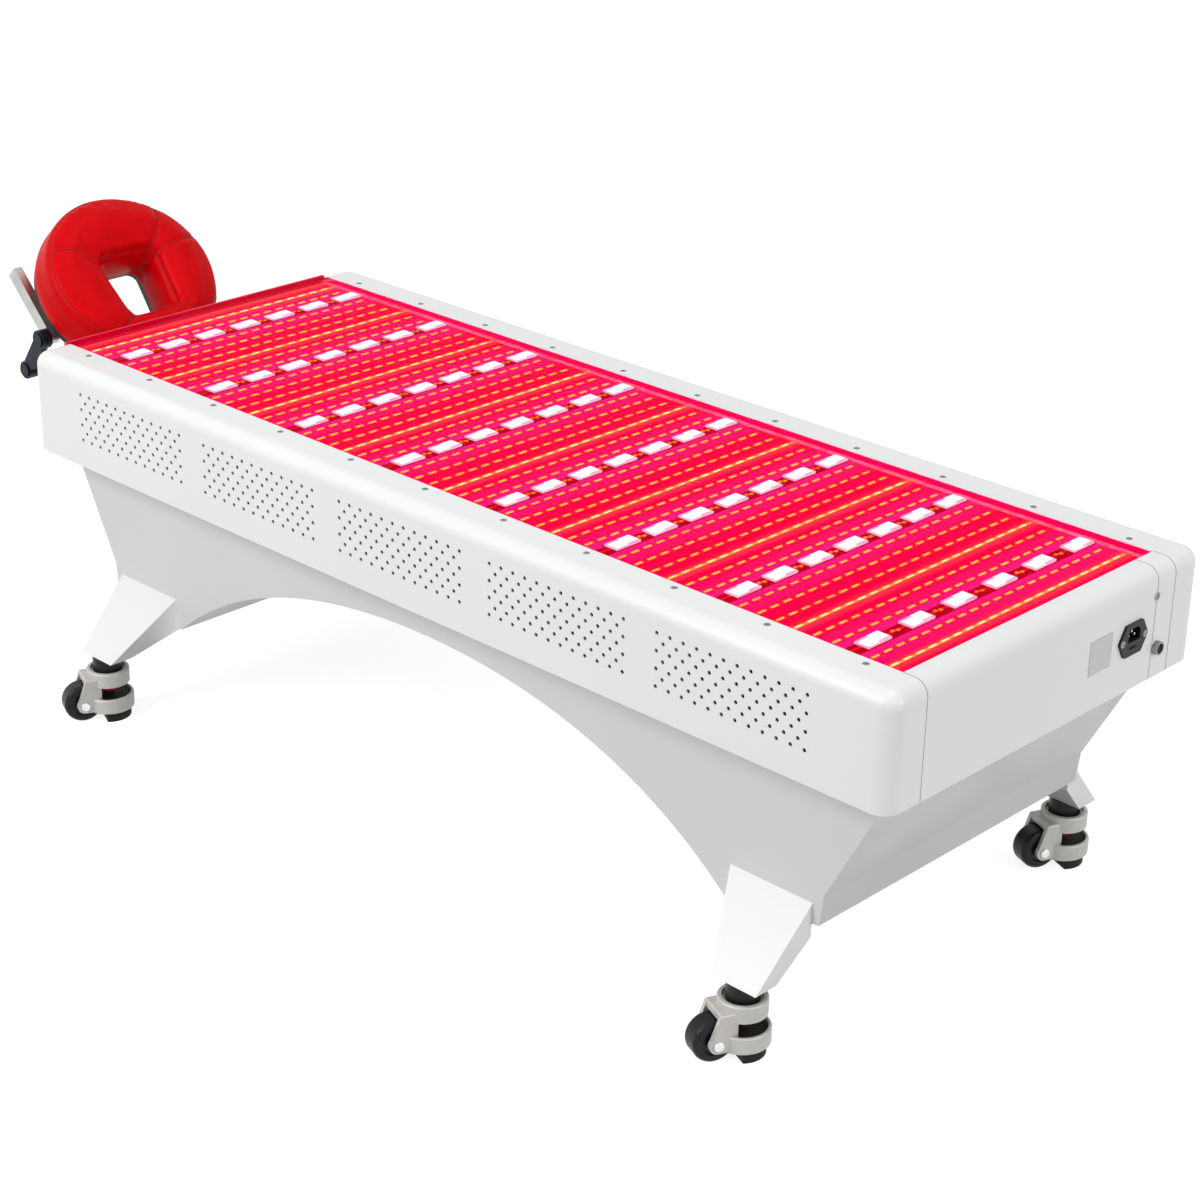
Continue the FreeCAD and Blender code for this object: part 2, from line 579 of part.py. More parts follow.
modules = []
for line in range(int(d.led_rows)):
    middle_x = "window_middle + (%d - (led_rows - 1) / 2) * led_row_pitch" % line
    count = int(d.modules_last_row if line == d.led_rows - 1 else d.modules_per_row)
    for i in range(count):
        middle_y = "module_offset + module_span * %.9f" % (i / (count - 1) - 0.5)
        modules.append(block("led_module_%d_%d" % (line, i), about(middle_x, "module_width"),
                             about(middle_y, "module_length"), ("strip_top", "strip_top + module_thick")))
node(group("led_modules", modules))


# Electrics on the pan: drivers, control board on standoffs, and the cooling fan.

drivers = []
for corner, end, side in CORNERS:
    drivers.append(block("driver_" + corner, about(signed(end, "driver_spacing"), "driver_length"),
                         about(signed(side, "driver_side"), "driver_width"),
                         ("pan_top", "pan_top + driver_height")))
node(group("led_drivers", drivers))

board = [block("circuit_board", about("board_middle", "board_length"),
               about("0 * board_width", "board_width"), ("board_bottom", "board_bottom + board_thick"))]
for corner, end, side in CORNERS:
    at = ("board_middle + " + signed(end, "board_length / 2 - standoff_radius"),
          signed(side, "board_width / 2 - standoff_radius"))
    board.append(cylinder("standoff_" + corner, "standoff_radius", "Z", ("pan_top", "board_bottom"), at))
node(fuse("control_board", *board))

fan_axis = ("0", "fan_level")
fan_span = ("-inner_half_width", "fan_front")
strut_span = ("fan_hub_face", "fan_front")
fan_box = block("fan_box", about("0 * fan_size", "fan_size"), fan_span, ("pan_top", "pan_top + fan_size"))
fan_shell = cut("fan_shell", fan_box, cylinder("fan_throat", "fan_mouth", "Y", fan_span, fan_axis))
fan_pieces = [fan_shell, cylinder("fan_boss", "fan_hub", "Y", strut_span, fan_axis),
              cylinder("fan_axle", "fan_pin", "Y", ("rotor_back", "fan_front"), fan_axis),
              block("fan_strut_level", about("0 * fan_size", "fan_size"), strut_span,
                    about("fan_level", "fan_strut")),
              block("fan_strut_upright", about("0 * fan_size", "fan_strut"), strut_span,
                    ("pan_top", "pan_top + fan_size"))]
node(fuse("fan_frame", *fan_pieces))

rotor = [cylinder("rotor_hub", "fan_hub", "Y", ("rotor_back", "rotor_front"), fan_axis)]
rotor_middle = Vector(0, (d.rotor_back + d.rotor_front) / 2, d.fan_level)
for i in range(int(d.fan_blades)):
    blade = doc.addObject("Part::Box", "blade_%d" % i)
    bind(blade, Length="blade_thick", Width="blade_width", Height="fan_mouth - fan_gap - fan_hub / 2")
    turn = Rotation(ALONG_Y, 360 * i / d.fan_blades).multiply(Rotation(ALONG_Z, 90 - d.blade_angle))
    corner = Vector(-d.blade_thick / 2, -d.blade_width / 2, d.fan_hub / 2)
    blade.Placement = Placement(rotor_middle + turn.multVec(corner), turn)
    rotor.append(blade)
axle_room = cylinder("rotor_bore", "fan_pin + run_clearance", "Y", fan_span, fan_axis)
node(cut("fan_rotor", fuse("rotor_wheel", *rotor), axle_room))


# Foot-end fittings: fused inlet with its drawer, control socket and blank rating plate.

def on_inlet(x, side, lift):
    return Vector(x, d.inlet_side + side, d.inlet_level + lift)


half_flange, half_top, half_tall = d.inlet_width / 2, d.inlet_top_width / 2, d.inlet_height / 2
flange_corners = [(-half_flange, 0), (-half_top, -half_tall), (half_top, -half_tall),
                  (half_flange, 0), (half_top, half_tall), (-half_top, half_tall)]
flange = prism(rounded_wire([on_inlet(d.half_length, y, z) for y, z in flange_corners], d.inlet_round),
               ALONG_X * d.inlet_flange)
inlet_body = span_box(d.half_length - d.inlet_depth, d.half_length,
                      d.inlet_side - inlet_reach_y + d.seat_gap, d.inlet_side + inlet_reach_y - d.seat_gap,
                      inlet_low + d.seat_gap, inlet_high - d.seat_gap)
half_socket, corner_cut = d.socket_width / 2, d.socket_chamfer
socket_low, socket_high = d.socket_lift - d.socket_height / 2, d.socket_lift + d.socket_height / 2
socket_corners = [(-half_socket, socket_low), (half_socket, socket_low),
                  (half_socket, socket_high - corner_cut), (half_socket - corner_cut, socket_high),
                  (corner_cut - half_socket, socket_high), (-half_socket, socket_high - corner_cut)]
socket_floor = d.inlet_face - d.socket_depth
socket_cup = prism(polygon([on_inlet(socket_floor, y, z) for y, z in socket_corners]),
                   ALONG_X * (d.socket_depth + d.inlet_flange))
drawer_half, drawer_tall = d.drawer_width / 2 + d.seat_gap, d.drawer_height / 2 + d.seat_gap
drawer_room = span_box(d.drawer_back - d.seat_gap, d.inlet_face + d.inlet_flange,
                       d.inlet_side - drawer_half, d.inlet_side + drawer_half,
                       d.drawer_level - drawer_tall, d.drawer_level + drawer_tall)
inlet_rooms = [socket_cup, drawer_room] + [room.Shape for room in inlet_screw_rooms]
node(shaped("power_inlet", carve(join([flange, inlet_body]), inlet_rooms)))

drawer = block("drawer_box", ("drawer_back", "inlet_face"), about("inlet_side", "drawer_width"),
               about("drawer_level", "drawer_height"))
drawer_lip = block("drawer_pull", ("inlet_face", "inlet_face + drawer_lip"),
                   about("inlet_side", "drawer_lip_width"), ("drawer_level", "drawer_level + drawer_lip"))
node(fuse("fuse_drawer", drawer, drawer_lip))

neck = "control_neck - run_clearance"
cup_floor = "control_reach - control_cup"
node(spun("control_socket", [("0", "-control_tail"), (neck, "-control_tail"), (neck, "0"),
                             ("control_radius", "0"), ("control_radius", "control_reach"),
                             ("control_bore", "control_reach"), ("control_bore", cup_floor),
                             ("0", cup_floor)],
          "X", ("half_length", "control_side", "control_level")))

node(block("rating_plate", ("half_length", "half_length + plate_thick"), about("plate_side", "plate_width"),
           about("plate_level", "plate_height")))


# Base: two arched side sheets, folded end sheets and a soffit bent along the arch.

def arch_edge(y, lift, end):
    """Half of the arch, from its crown to its foot at the given end."""
    poles = [(0, d.arch_crown), (d.crown_reach, d.arch_crown),
             (d.arch_foot - d.spring_reach, d.arch_foot_height + d.spring_rise),
             (d.arch_foot, d.arch_foot_height)]
    curve = Part.BezierCurve()
    curve.setPoles([Vector(end * x, y, z + lift) for x, z in poles])
    return curve.toShape()


def chain(points):
    return [Part.makeLine(a, b) for a, b in zip(points, points[1:])]


leg_bolts = {NEAR: [], FAR: []}
for corner, end, side in CORNERS:
    for line in ("leg_bolt_inner", "leg_bolt_outer"):
        leg_bolts[side].append((signed(end, line), "leg_bolt_height"))

for side_name, side in SIDES:
    y = d.base_inner if side == FAR else -d.base_side
    foot_end = [Vector(d.arch_foot, y, d.arch_foot_height), Vector(d.lip_line, y, d.lip_height),
                Vector(d.fold_line, y, d.fold_height), Vector(d.base_half, y, d.deck_underside)]
    head_end = [Vector(-p.x, p.y, p.z) for p in reversed(foot_end)]
    rim = chain(foot_end + head_end) + [arch_edge(y, 0, HEAD), arch_edge(y, 0, FOOT)]
    sheet_form = prism(Part.Wire(Part.__sortEdges__(rim)), ALONG_Y * d.base_wall)
    arched = shaped(side_name + "_arch_sheet", sheet_form)
    rooms = [cylinder("%s_leg_bolt_room_%d" % (side_name, i), "bolt_room", "Y",
                      on_side(side, "base_inner - base_wall", "base_side + base_wall"), at)
             for i, at in enumerate(leg_bolts[side])]
    node(cut("base_%s_side" % side_name, arched, *rooms))

for end_name, end in (("head", HEAD), ("foot", FOOT)):
    fold = [("base_half", "deck_underside"), ("fold_line", "fold_height"), ("lip_line", "lip_height"),
            ("lip_line - base_wall", "lip_height"), ("fold_line - base_wall", "fold_height"),
            ("base_half - 2 * base_wall", "flange_under"), ("base_half - flange_width", "flange_under"),
            ("base_half - flange_width", "deck_underside")]
    bent = padded(end_name + "_end_sheet", [(signed(end, x), z) for x, z in fold], "2 * base_inner")
    rooms = [cylinder("%s_flange_room_%d" % (end_name, i), "bolt_room", "Z",
                      ("flange_under - base_wall", "deck_underside + base_wall"), at)
             for i, at in enumerate(flange_bolts) if at[0] == signed(end, "flange_bolt_line")]
    node(cut("base_%s_end" % end_name, bent, *rooms))

soffit_end = d.lip_line - d.base_wall
slope = (d.lip_height - d.arch_foot_height) / (d.lip_line - d.arch_foot)
end_level = d.arch_foot_height + slope * (soffit_end - d.arch_foot)
soffit_edges = []
for end in (HEAD, FOOT):
    under = [Vector(end * d.arch_foot, -d.base_inner, d.arch_foot_height),
             Vector(end * soffit_end, -d.base_inner, end_level)]
    over = [p + ALONG_Z * d.base_wall for p in reversed(under)]
    soffit_edges += chain(under + over)
    soffit_edges += [arch_edge(-d.base_inner, lift, end) for lift in (0, d.base_wall)]
soffit_wire = Part.Wire(Part.__sortEdges__(soffit_edges))
node(shaped("base_arch_soffit", prism(soffit_wire, ALONG_Y * 2 * d.base_inner)))


# Legs: hollow tapered boxes that splay from the base's lower corners.

def leg_form(end, side, inset):
    """The tapered form between the base's side and the caster, drawn in by inset all round."""
    top, bottom = d.leg_top - inset, d.leg_root + inset
    root = [(d.leg_top_inner + inset, top), (d.leg_top_outer - inset, top),
            (d.leg_root_outer - inset, bottom), (d.leg_root_inner + inset, bottom)]
    inner, outer = d.leg_foot_inner + inset, d.leg_foot_outer - inset
    foot = [(inner, d.leg_foot_out - inset), (outer, d.leg_foot_out - inset),
            (outer, d.leg_foot_in + inset), (inner, d.leg_foot_in + inset)]
    return tapered_block([Vector(end * x, side * d.base_side, z) for x, z in root],
                         [Vector(end * x, side * y, d.leg_foot) for x, y in foot])


def leg_shell(end, side):
    """A leg with a thick root wall for its bolts and a thick sole for the caster's stem."""
    x0, x1 = sorted((end * d.leg_root_inner, end * d.leg_root_outer))
    y0, y1 = sorted((side * d.leg_root_wall, side * d.leg_foot_out))
    room = span_box(x0, x1, y0, y1, d.leg_foot + d.leg_sole, d.leg_top)
    return leg_form(end, side, 0).cut(leg_form(end, side, d.leg_wall).common(room))


for corner, end, side in CORNERS:
    shell = shaped("leg_shell_" + corner, leg_shell(end, side))
    bores = [cylinder("leg_bolt_bore_%s_%s" % (corner, line), "bolt_thread", "Y",
                      on_side(side, "base_inner", "leg_root_wall + bolt_clearance"),
                      (signed(end, line), "leg_bolt_height"))
             for line in ("leg_bolt_inner", "leg_bolt_outer")]
    bores.append(cylinder("stem_bore_" + corner, "stem_radius + thread_clearance", "Z",
                          ("leg_foot - leg_wall", "leg_foot + stem_reach + bolt_clearance"),
                          (signed(end, "caster_x"), signed(side, "caster_y"))))
    node(cut("leg_" + corner, shell, *bores))


# Bolts that hold the base to the light box and the legs to the base.

bolts = []
for i, at in enumerate(flange_bolts):
    bolts.append(fuse("flange_bolt_%d" % i,
                      hexagon("flange_bolt_head_%d" % i, "bolt_head", "Z",
                              ("flange_under - bolt_head_height", "flange_under"), at),
                      cylinder("flange_bolt_shank_%d" % i, "bolt_radius", "Z",
                               ("flange_under", "bush_top"), at)))
for side_name, side in SIDES:
    for i, at in enumerate(leg_bolts[side]):
        name = "%s_leg_bolt_%d" % (side_name, i)
        head_span = on_side(side, "base_inner - bolt_head_height", "base_inner")
        shank_span = on_side(side, "base_inner", "leg_root_wall")
        head = hexagon(name + "_head", "bolt_head", "Y", head_span, at)
        bolts.append(fuse(name, head, cylinder(name + "_shank", "bolt_radius", "Y", shank_span, at)))
node(group("frame_bolts", bolts))


# Levelling casters, each piece made once about the swivel axis with the wheel along +X.

wheel_axle = ("wheel_trail", "0", "wheel_radius")

spigot_end = "cap_bottom - spigot_drop"
stem_room, stem_room_top = "guide_radius + foot_clearance", "cap_bottom + spigot_drop"
stem_tip = "leg_foot + stem_reach"
stem = spun("caster_stem", [("0", stem_room_top), ("0", stem_tip), ("stem_radius", stem_tip),
                            ("stem_radius", "leg_foot"), ("cap_radius", "leg_foot"),
                            ("cap_radius", "cap_bottom"), ("spigot_radius", "cap_bottom"),
                            ("spigot_radius", spigot_end), (stem_room, spigot_end),
                            (stem_room, stem_room_top)])


def caster_housing():
    """A cast swivel ring, a hood and two cheeks over the wheel, and a guard band round the foot."""
    axle = Vector(d.wheel_trail, 0, d.wheel_radius)
    ring = rod(d.ring_radius, ALONG_Z * d.ring_bottom, ALONG_Z * d.ring_top)
    ring = ring.makeFillet(d.soft_edge, [e for e in ring.Edges if e.BoundBox.ZMin > d.ring_top - 0.001])
    hood = span_box(0, d.cheek_front, -d.cheek_outer, d.cheek_outer, d.ring_bottom, d.hood_top)
    hood = hood.makeFillet(d.soft_edge, [e for e in hood.Edges
                                         if e.BoundBox.ZMin > d.hood_top - 0.001 and e.BoundBox.XMax > 0.001])
    band = rod(d.band_radius, ALONG_Z * d.band_bottom, ALONG_Z * d.band_top)
    band = band.makeFillet(d.soft_edge, [e for e in band.Edges if e.BoundBox.ZLength < 0.001])
    throat = rod(d.band_radius - d.band_wall, Vector(), ALONG_Z * d.ring_bottom)
    band_front = math.sqrt(d.band_radius ** 2 - d.cheek_outer ** 2)
    front = span_box(band_front, 2 * d.band_radius, -d.band_radius, d.band_radius, 0, d.ring_bottom)
    pieces = [ring, hood, carve(band, [throat, front])]
    profile = [(d.cheek_back, d.band_bottom + d.soft_edge), (axle.x, axle.z - d.cheek_round),
               (axle.x + d.cheek_round, axle.z), (d.cheek_front, d.hood_top - d.soft_edge),
               (d.cheek_back, d.hood_top - d.soft_edge)]
    for y in (-d.cheek_outer, d.cheek_inner):
        thickness = ALONG_Y * d.cheek_thick
        pieces.append(prism(polygon([Vector(x, y, z) for x, z in profile]), thickness))
        pieces.append(rod(d.cheek_round, axle + ALONG_Y * y, axle + ALONG_Y * y + thickness))
    between = span_box(-d.band_radius, d.band_radius, -d.cheek_inner, d.cheek_inner, 0, d.ring_bottom)
    wheel_room = rod(d.wheel_radius + d.wheel_clearance, axle - ALONG_Y * d.cheek_inner,
                     axle + ALONG_Y * d.cheek_inner)
    recess = rod(d.ring_recess, ALONG_Z * (d.ring_top - d.ring_recess_depth),
                 ALONG_Z * (d.ring_top + d.ring_web))
    bearing = rod(d.spigot_radius + d.run_clearance, ALONG_Z * (d.ring_bottom + d.ring_web),
                  ALONG_Z * d.ring_top)
    guide = rod(d.guide_bore, Vector(), ALONG_Z * d.ring_top)
    axle_bore = rod(d.axle_radius + d.thread_clearance, axle - ALONG_Y * d.axle_end,
                    axle + ALONG_Y * d.axle_end)
    return carve(join(pieces), [wheel_room, throat.common(between), recess, bearing, guide, axle_bore])


housing = shaped("caster_housing", caster_housing())

wheel_half, wheel_bore = "wheel_width / 2", "axle_radius + run_clearance"
web_face = "wheel_width / 2 - hub_recess"
half_section = [("wheel_radius", wheel_half), ("hub_radius", wheel_half), ("hub_radius", web_face),
                ("axle_head", web_face), ("axle_head", wheel_half), (wheel_bore, wheel_half)]
mirrored_section = [(radius, "-(%s)" % level) for radius, level in reversed(half_section)]
wheel = spun("caster_wheel", half_section + mirrored_section, "Y", wheel_axle)


def tread_edge(edge):
    return edge.Closed and abs(edge.BoundBox.XMax - d.wheel_radius) < 0.001


rounded(wheel, "wheel_shoulder", tread_edge)

axle = spun("caster_axle", [("0", "-axle_end"), ("axle_head", "-axle_end"), ("axle_head", "-cheek_outer"),
                            ("axle_radius", "-cheek_outer"), ("axle_radius", "cheek_outer"),
                            ("axle_head", "cheek_outer"), ("axle_head", "axle_end"), ("0", "axle_end")],
            "Y", wheel_axle)


def axle_head_edge(edge):
    return ring_edge(d.axle_head, d.axle_end)(edge) or ring_edge(d.axle_head, -d.axle_end)(edge)


rounded(axle, "axle_head_round", axle_head_edge)

dial_disc = spun("dial_disc", [("guide_bore", "dial_bottom"), ("dial_radius", "dial_bottom"),
                               ("dial_radius", "dial_face"), ("dial_hub", "dial_face"),
                               ("dial_hub", "dial_top"), ("guide_bore", "dial_top")])
grips = []
for i in range(int(d.dial_grips)):
    turn = 2 * math.pi * i / d.dial_grips
    at = ("dial_radius * %.9f" % math.cos(turn), "dial_radius * %.9f" % math.sin(turn))
    grips.append(cylinder("dial_grip_%d" % i, "dial_grip_radius", "Z", ("dial_bottom", "dial_face"), at))
dial = cut("caster_dial", dial_disc, *grips)

foot_pad = spun("foot_pad", [("0", "0"), ("pad_radius", "0"), ("pad_radius", "pad_height"),
                             ("0", "pad_height")])
rounded(foot_pad, "soft_edge", ring_edge(d.pad_radius, d.pad_height))
foot_body = cylinder("foot_body", "foot_radius", "Z", ("0", "foot_top"), ("0", "0"))
wheel_side = block("foot_wheel_side", ("foot_flat", "band_radius"), ("-band_radius", "band_radius"),
                   ("-soft_edge", "foot_top + soft_edge"))
foot_block = cut("foot_block", fuse("foot_turned", foot_pad, foot_body), wheel_side)
foot_stem = cylinder("foot_stem", "guide_radius", "Z", ("0", "stem_top"), ("0", "0"))
foot = fuse("caster_foot", foot_block, foot_stem)


def at_corner(name, master, end, side):
    """A copy of a caster's piece at one corner of the bed, turned the way that all four trail."""
    return place(group(name, [master]), signed(end, "caster_x"), signed(side, "caster_y"), "0",
                 Rotation(ALONG_Z, d.caster_yaw))


stems = [at_corner("caster_stem_" + corner, stem, end, side) for corner, end, side in CORNERS]
node(group("caster_stems", stems))
for master in (housing, wheel, axle, dial, foot):
    for corner, end, side in CORNERS:
        node(at_corner("%s_%s" % (master.Name, corner), master, end, side))


# Face cradle: sockets and rods in the head end, two links, and the tilting carrier.

sockets = []
rods = []
for side_name, side in SIDES:
    line = (signed(side, "rod_side"), "lower_pivot_level")
    sleeve = [("rod_bore", "-rod_socket_lip"), ("rod_socket_flange", "-rod_socket_lip"),
              ("rod_socket_flange", "0"), ("socket_radius", "0"), ("socket_radius", "rod_socket_length"),
              ("rod_bore", "rod_socket_length")]
    sockets.append(spun(side_name + "_rod_socket", sleeve, "X", ("-half_length",) + line))
    bar = cylinder(side_name + "_rod_bar", "rod_radius", "X",
                   ("lower_pivot_line", "rod_inside - half_length"), line)
    cope = cylinder(side_name + "_rod_cope", "shaft_radius + run_clearance", "Y",
                    about(line[0], "(4 * rod_radius)"), ("lower_pivot_line", "lower_pivot_level"))
    rods.append(cut(side_name + "_rod", bar, cope))
node(group("rod_sockets", sockets))
node(group("cradle_rods", rods))

node(spun("lower_pivot_shaft", [("0", "-pin_end"), ("lower_pin", "-pin_end"), ("lower_pin", "-arm_outer"),
                                ("shaft_radius", "-arm_outer"), ("shaft_radius", "arm_outer"),
                                ("lower_pin", "arm_outer"), ("lower_pin", "pin_end"), ("0", "pin_end")],
          "Y", ("lower_pivot_line", "0", "lower_pivot_level")))

upper_pivot_at = ("upper_pivot_line", "0", "upper_pivot_level")
pin_head_end, pin_head_face = "arm_inner - pin_head_height", "arm_inner - seat_gap"
pin_section = [("0", pin_head_end), ("pin_head", pin_head_end), ("pin_head", pin_head_face),
               ("upper_pin", pin_head_face), ("upper_pin", "pin_end")]
plain_end = [("0", "pin_end")]
tapped_end = [("knob_bore", "pin_end"), ("knob_bore", "knob_bore_end"), ("0", "knob_bore_end")]
pins = []
for side_name, side, tip in (("near", NEAR, plain_end), ("far", FAR, tapped_end)):
    section = [(radius, signed(side, level)) for radius, level in pin_section + tip]
    pins.append(spun(side_name + "_upper_pin", section, "Y", upper_pivot_at))
node(group("upper_pivot_pins", pins))

knob_tip, knob_end = "knob_bore_end + side_gap", "knob_face + knob_height"
knob = spun("lock_knob", [("0", knob_tip), ("knob_screw", knob_tip), ("knob_screw", "knob_face"),
                          ("knob_radius", "knob_face"), ("knob_radius", knob_end), ("0", knob_end)],
            "Y", upper_pivot_at)
node(rounded(knob, "soft_edge", ring_edge(d.knob_radius, d.knob_face + d.knob_height)))

lower_pivot = Vector(d.lower_pivot_line, 0, d.lower_pivot_level)
upper_pivot = Vector(d.upper_pivot_line, 0, d.upper_pivot_level)
link_run = upper_pivot - lower_pivot
link_across = Vector(link_run.z, 0, -link_run.x).normalize() * d.link_waist


def link(side):
    """A dog-bone link with a raised boss over each pivot, blind bored from its inner face."""
    def slice_at(centre, radius, start, stop):
        return rod(radius, centre + ALONG_Y * side * start, centre + ALONG_Y * side * stop)

    inner_face = ALONG_Y * side * d.link_inner
    waist = [lower_pivot + link_across, upper_pivot + link_across,
             upper_pivot - link_across, lower_pivot - link_across]
    pieces = [prism(polygon([p + inner_face for p in waist]), ALONG_Y * side * d.link_thick)]
    for centre, radius in ((lower_pivot, d.link_lower_round), (upper_pivot, d.link_upper_round)):
        pieces.append(slice_at(centre, radius, d.link_inner, d.link_outer))
        pieces.append(slice_at(centre, d.boss_radius, d.link_inner, d.boss_face))
    bores = [slice_at(lower_pivot, d.lower_pin + d.run_clearance, d.arm_outer, d.link_outer),
             slice_at(upper_pivot, d.pin_bore, d.arm_outer, d.link_outer)]
    if side == FAR:
        bores.append(slice_at(upper_pivot, d.knob_bore, d.link_outer, d.knob_face))
    return carve(join(pieces), bores)


node(shaped("cradle_links", Part.makeCompound([link(NEAR), link(FAR)])))


# Tilting carrier, drawn upright about the upper pivot with its front along +X, then leant back.

def leant(piece):
    return place(piece, *upper_pivot_at, Rotation(ALONG_Y, -d.cradle_lean))


arms = []
for side_name, side in SIDES:
    walls = on_side(side, "arm_inner", "arm_outer")
    bar = block(side_name + "_arm_bar", ("-arm_depth / 2", "arm_depth / 2"), walls, ("0", "arm_length"))
    eye = cylinder(side_name + "_arm_eye", "arm_depth / 2", "Y", walls, ("0", "0"))
    bore = block(side_name + "_arm_bore", ("arm_wall - arm_depth / 2", "arm_depth / 2 - arm_wall"),
                 on_side(side, "arm_inner + arm_wall", "arm_outer - arm_wall"),
                 ("arm_block", "arm_length + arm_wall"))
    pin_room = cylinder(side_name + "_arm_pin_room", "pin_bore", "Y",
                        on_side(side, "arm_inner - arm_wall", "arm_outer + arm_wall"), ("0", "0"))
    arms.append(cut(side_name + "_arm", fuse(side_name + "_arm_solid", bar, eye), bore, pin_room))
node(leant(group("cradle_arms", arms)))


def cushion_outline(front, inset):
    """The rounded outline as tangent arcs: a semicircle below, shoulders and a flatter top."""
    half = d.cushion_half - inset
    shoulder = d.shoulder_radius - inset
    offset = d.cushion_half - d.shoulder_radius
    height = d.cushion_top - d.cushion_rise
    top_radius = (offset ** 2 + height ** 2 - d.shoulder_radius ** 2) / (2 * (height - d.shoulder_radius))
    turn = math.atan2(d.cushion_rise - (d.cushion_top - top_radius), offset)

    def at(side, centre, radius, angle):
        across = side * (centre + radius * math.cos(angle))
        return Vector(front, across, d.cushion_rise + radius * math.sin(angle))

    low = [at(1, 0, half, math.radians(angle)) for angle in (-180, -135, -90, -45, 0)]
    right, left = [[at(side, offset, shoulder, turn * share) for share in (0, 0.5, 1)] for side in (1, -1)]
    crown = Vector(front, 0, d.cushion_top - inset)
    arcs = [low[0:3], low[2:5], right, (right[2], crown, left[2]), left[::-1]]
    return Part.Wire([Part.Arc(*arc).toShape() for arc in arcs])


def hole_wire(front, ease):
    """The trapezoid face opening, grown by ease on every side."""
    top, bottom = d.hole_top + ease, d.hole_bottom - ease
    half_top, half_bottom = d.hole_top_width / 2 + ease, d.hole_bottom_width / 2 + ease
    corners = [(-half_top, top), (half_top, top), (half_bottom, bottom), (-half_bottom, bottom)]
    return rounded_wire([Vector(front, y, z) for y, z in corners], d.hole_round + ease / 2)


board_sheet = prism(cushion_outline(d.backing_back, d.backing_inset), ALONG_X * d.backing_thick)
board_hole = prism(hole_wire(0, d.backing_hole_ease), ALONG_X * 2 * d.backing_front)
node(leant(shaped("backing_board", board_sheet.cut(board_hole))))

SIDE_SWELL = ((0, 7), (0.1, 2), (0.45, 0), (0.85, 1.5), (1, 6))
CROWN_SWELL = ((0.55, 17), (0.9, 36), (1, 58))
HOLE_FLARE = ((-0.05, 0), (0.6, 0), (0.9, 5), (1.2, 18))
band_front = d.backing_front + d.cushion_band
swell = [cushion_outline(d.backing_front + share * d.cushion_band, inset) for share, inset in SIDE_SWELL]
swell += [cushion_outline(band_front + share * d.cushion_crown, inset) for share, inset in CROWN_SWELL]
flare = [hole_wire(d.backing_front + share * d.cushion_band, ease) for share, ease in HOLE_FLARE]
cushion = Part.makeLoft(swell, True, False).cut(Part.makeLoft(flare, True, False))
node(leant(shaped("face_cushion", cushion)))


# Checks before anything is written: every object computed, every shape whole.

doc.recompute()
faults = [o.Name for o in doc.Objects if {"Invalid", "Error"} & set(o.State)]
faults += [p.Label for p in parts if p.Shape.isNull() or not p.Shape.isValid() or not p.Shape.Solids]
if faults:
    raise RuntimeError("not built: " + ", ".join(faults))
os.makedirs("parts", exist_ok=True)
for piece in parts:
    piece.Shape.exportStep("parts/%s.step" % piece.Label)
    print("%-26s solids %3d  volume %10.0f" % (piece.Label, len(piece.Shape.Solids), piece.Shape.Volume))
print("sub-parts", len(parts))
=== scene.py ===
import math

import bpy
from mathutils import Matrix, Vector
from mathutils.bvhtree import BVHTree
from mathutils.kdtree import KDTree


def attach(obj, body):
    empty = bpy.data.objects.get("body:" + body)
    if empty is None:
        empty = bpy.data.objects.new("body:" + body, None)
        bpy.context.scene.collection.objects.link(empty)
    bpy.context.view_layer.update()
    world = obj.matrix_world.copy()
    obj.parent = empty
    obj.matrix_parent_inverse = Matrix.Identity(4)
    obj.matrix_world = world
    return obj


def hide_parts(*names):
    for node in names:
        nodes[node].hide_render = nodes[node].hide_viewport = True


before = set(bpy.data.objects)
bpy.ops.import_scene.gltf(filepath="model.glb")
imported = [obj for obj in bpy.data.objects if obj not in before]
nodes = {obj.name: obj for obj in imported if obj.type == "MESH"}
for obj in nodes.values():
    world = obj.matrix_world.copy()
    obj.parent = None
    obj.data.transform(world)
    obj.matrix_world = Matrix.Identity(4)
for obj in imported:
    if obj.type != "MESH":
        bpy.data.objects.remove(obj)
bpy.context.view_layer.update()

# The studio: a camera off the near corner of the foot end, a plain pale floor,
# one broad lamp over the near side, a weak one overhead and one at the foot.
scene = bpy.context.scene
scene.view_settings.view_transform = "Standard"

lens_right = Vector((0.71957, 0.69419, 0.01809))
lens_up = Vector((-0.29494, 0.28193, 0.91298))
camera_data = bpy.data.cameras.new("studio_camera")
camera_data.lens = 79.06
camera_data.sensor_width = 36.0
camera = bpy.data.objects.new("studio_camera", camera_data)
turn = Matrix((lens_right, lens_up, lens_right.cross(lens_up))).transposed()
camera.matrix_world = Matrix.Translation((2.6186, -2.6807, 1.9940)) @ turn.to_4x4()
scene.collection.objects.link(camera)
scene.camera = camera


def softbox(name, place, aim, size, power):
    lamp = bpy.data.lights.new(name, "AREA")
    lamp.shape = "SQUARE"
    lamp.size = size
    lamp.energy = power
    holder = bpy.data.objects.new(name, lamp)
    holder.location = place
    holder.rotation_euler = (Vector(aim) - Vector(place)).to_track_quat("-Z", "Y").to_euler()
    scene.collection.objects.link(holder)


softbox("near_softbox", (-1.2, -4.6, 3.2), (0.0, 0.0, 0.4), 3.2, 182)
softbox("top_softbox", (0.2, 0.0, 4.8), (0.0, 0.0, 0.0), 3.6, 40)
softbox("foot_softbox", (5.4, 0.6, 2.0), (0.6, 0.0, 0.4), 2.6, 92)


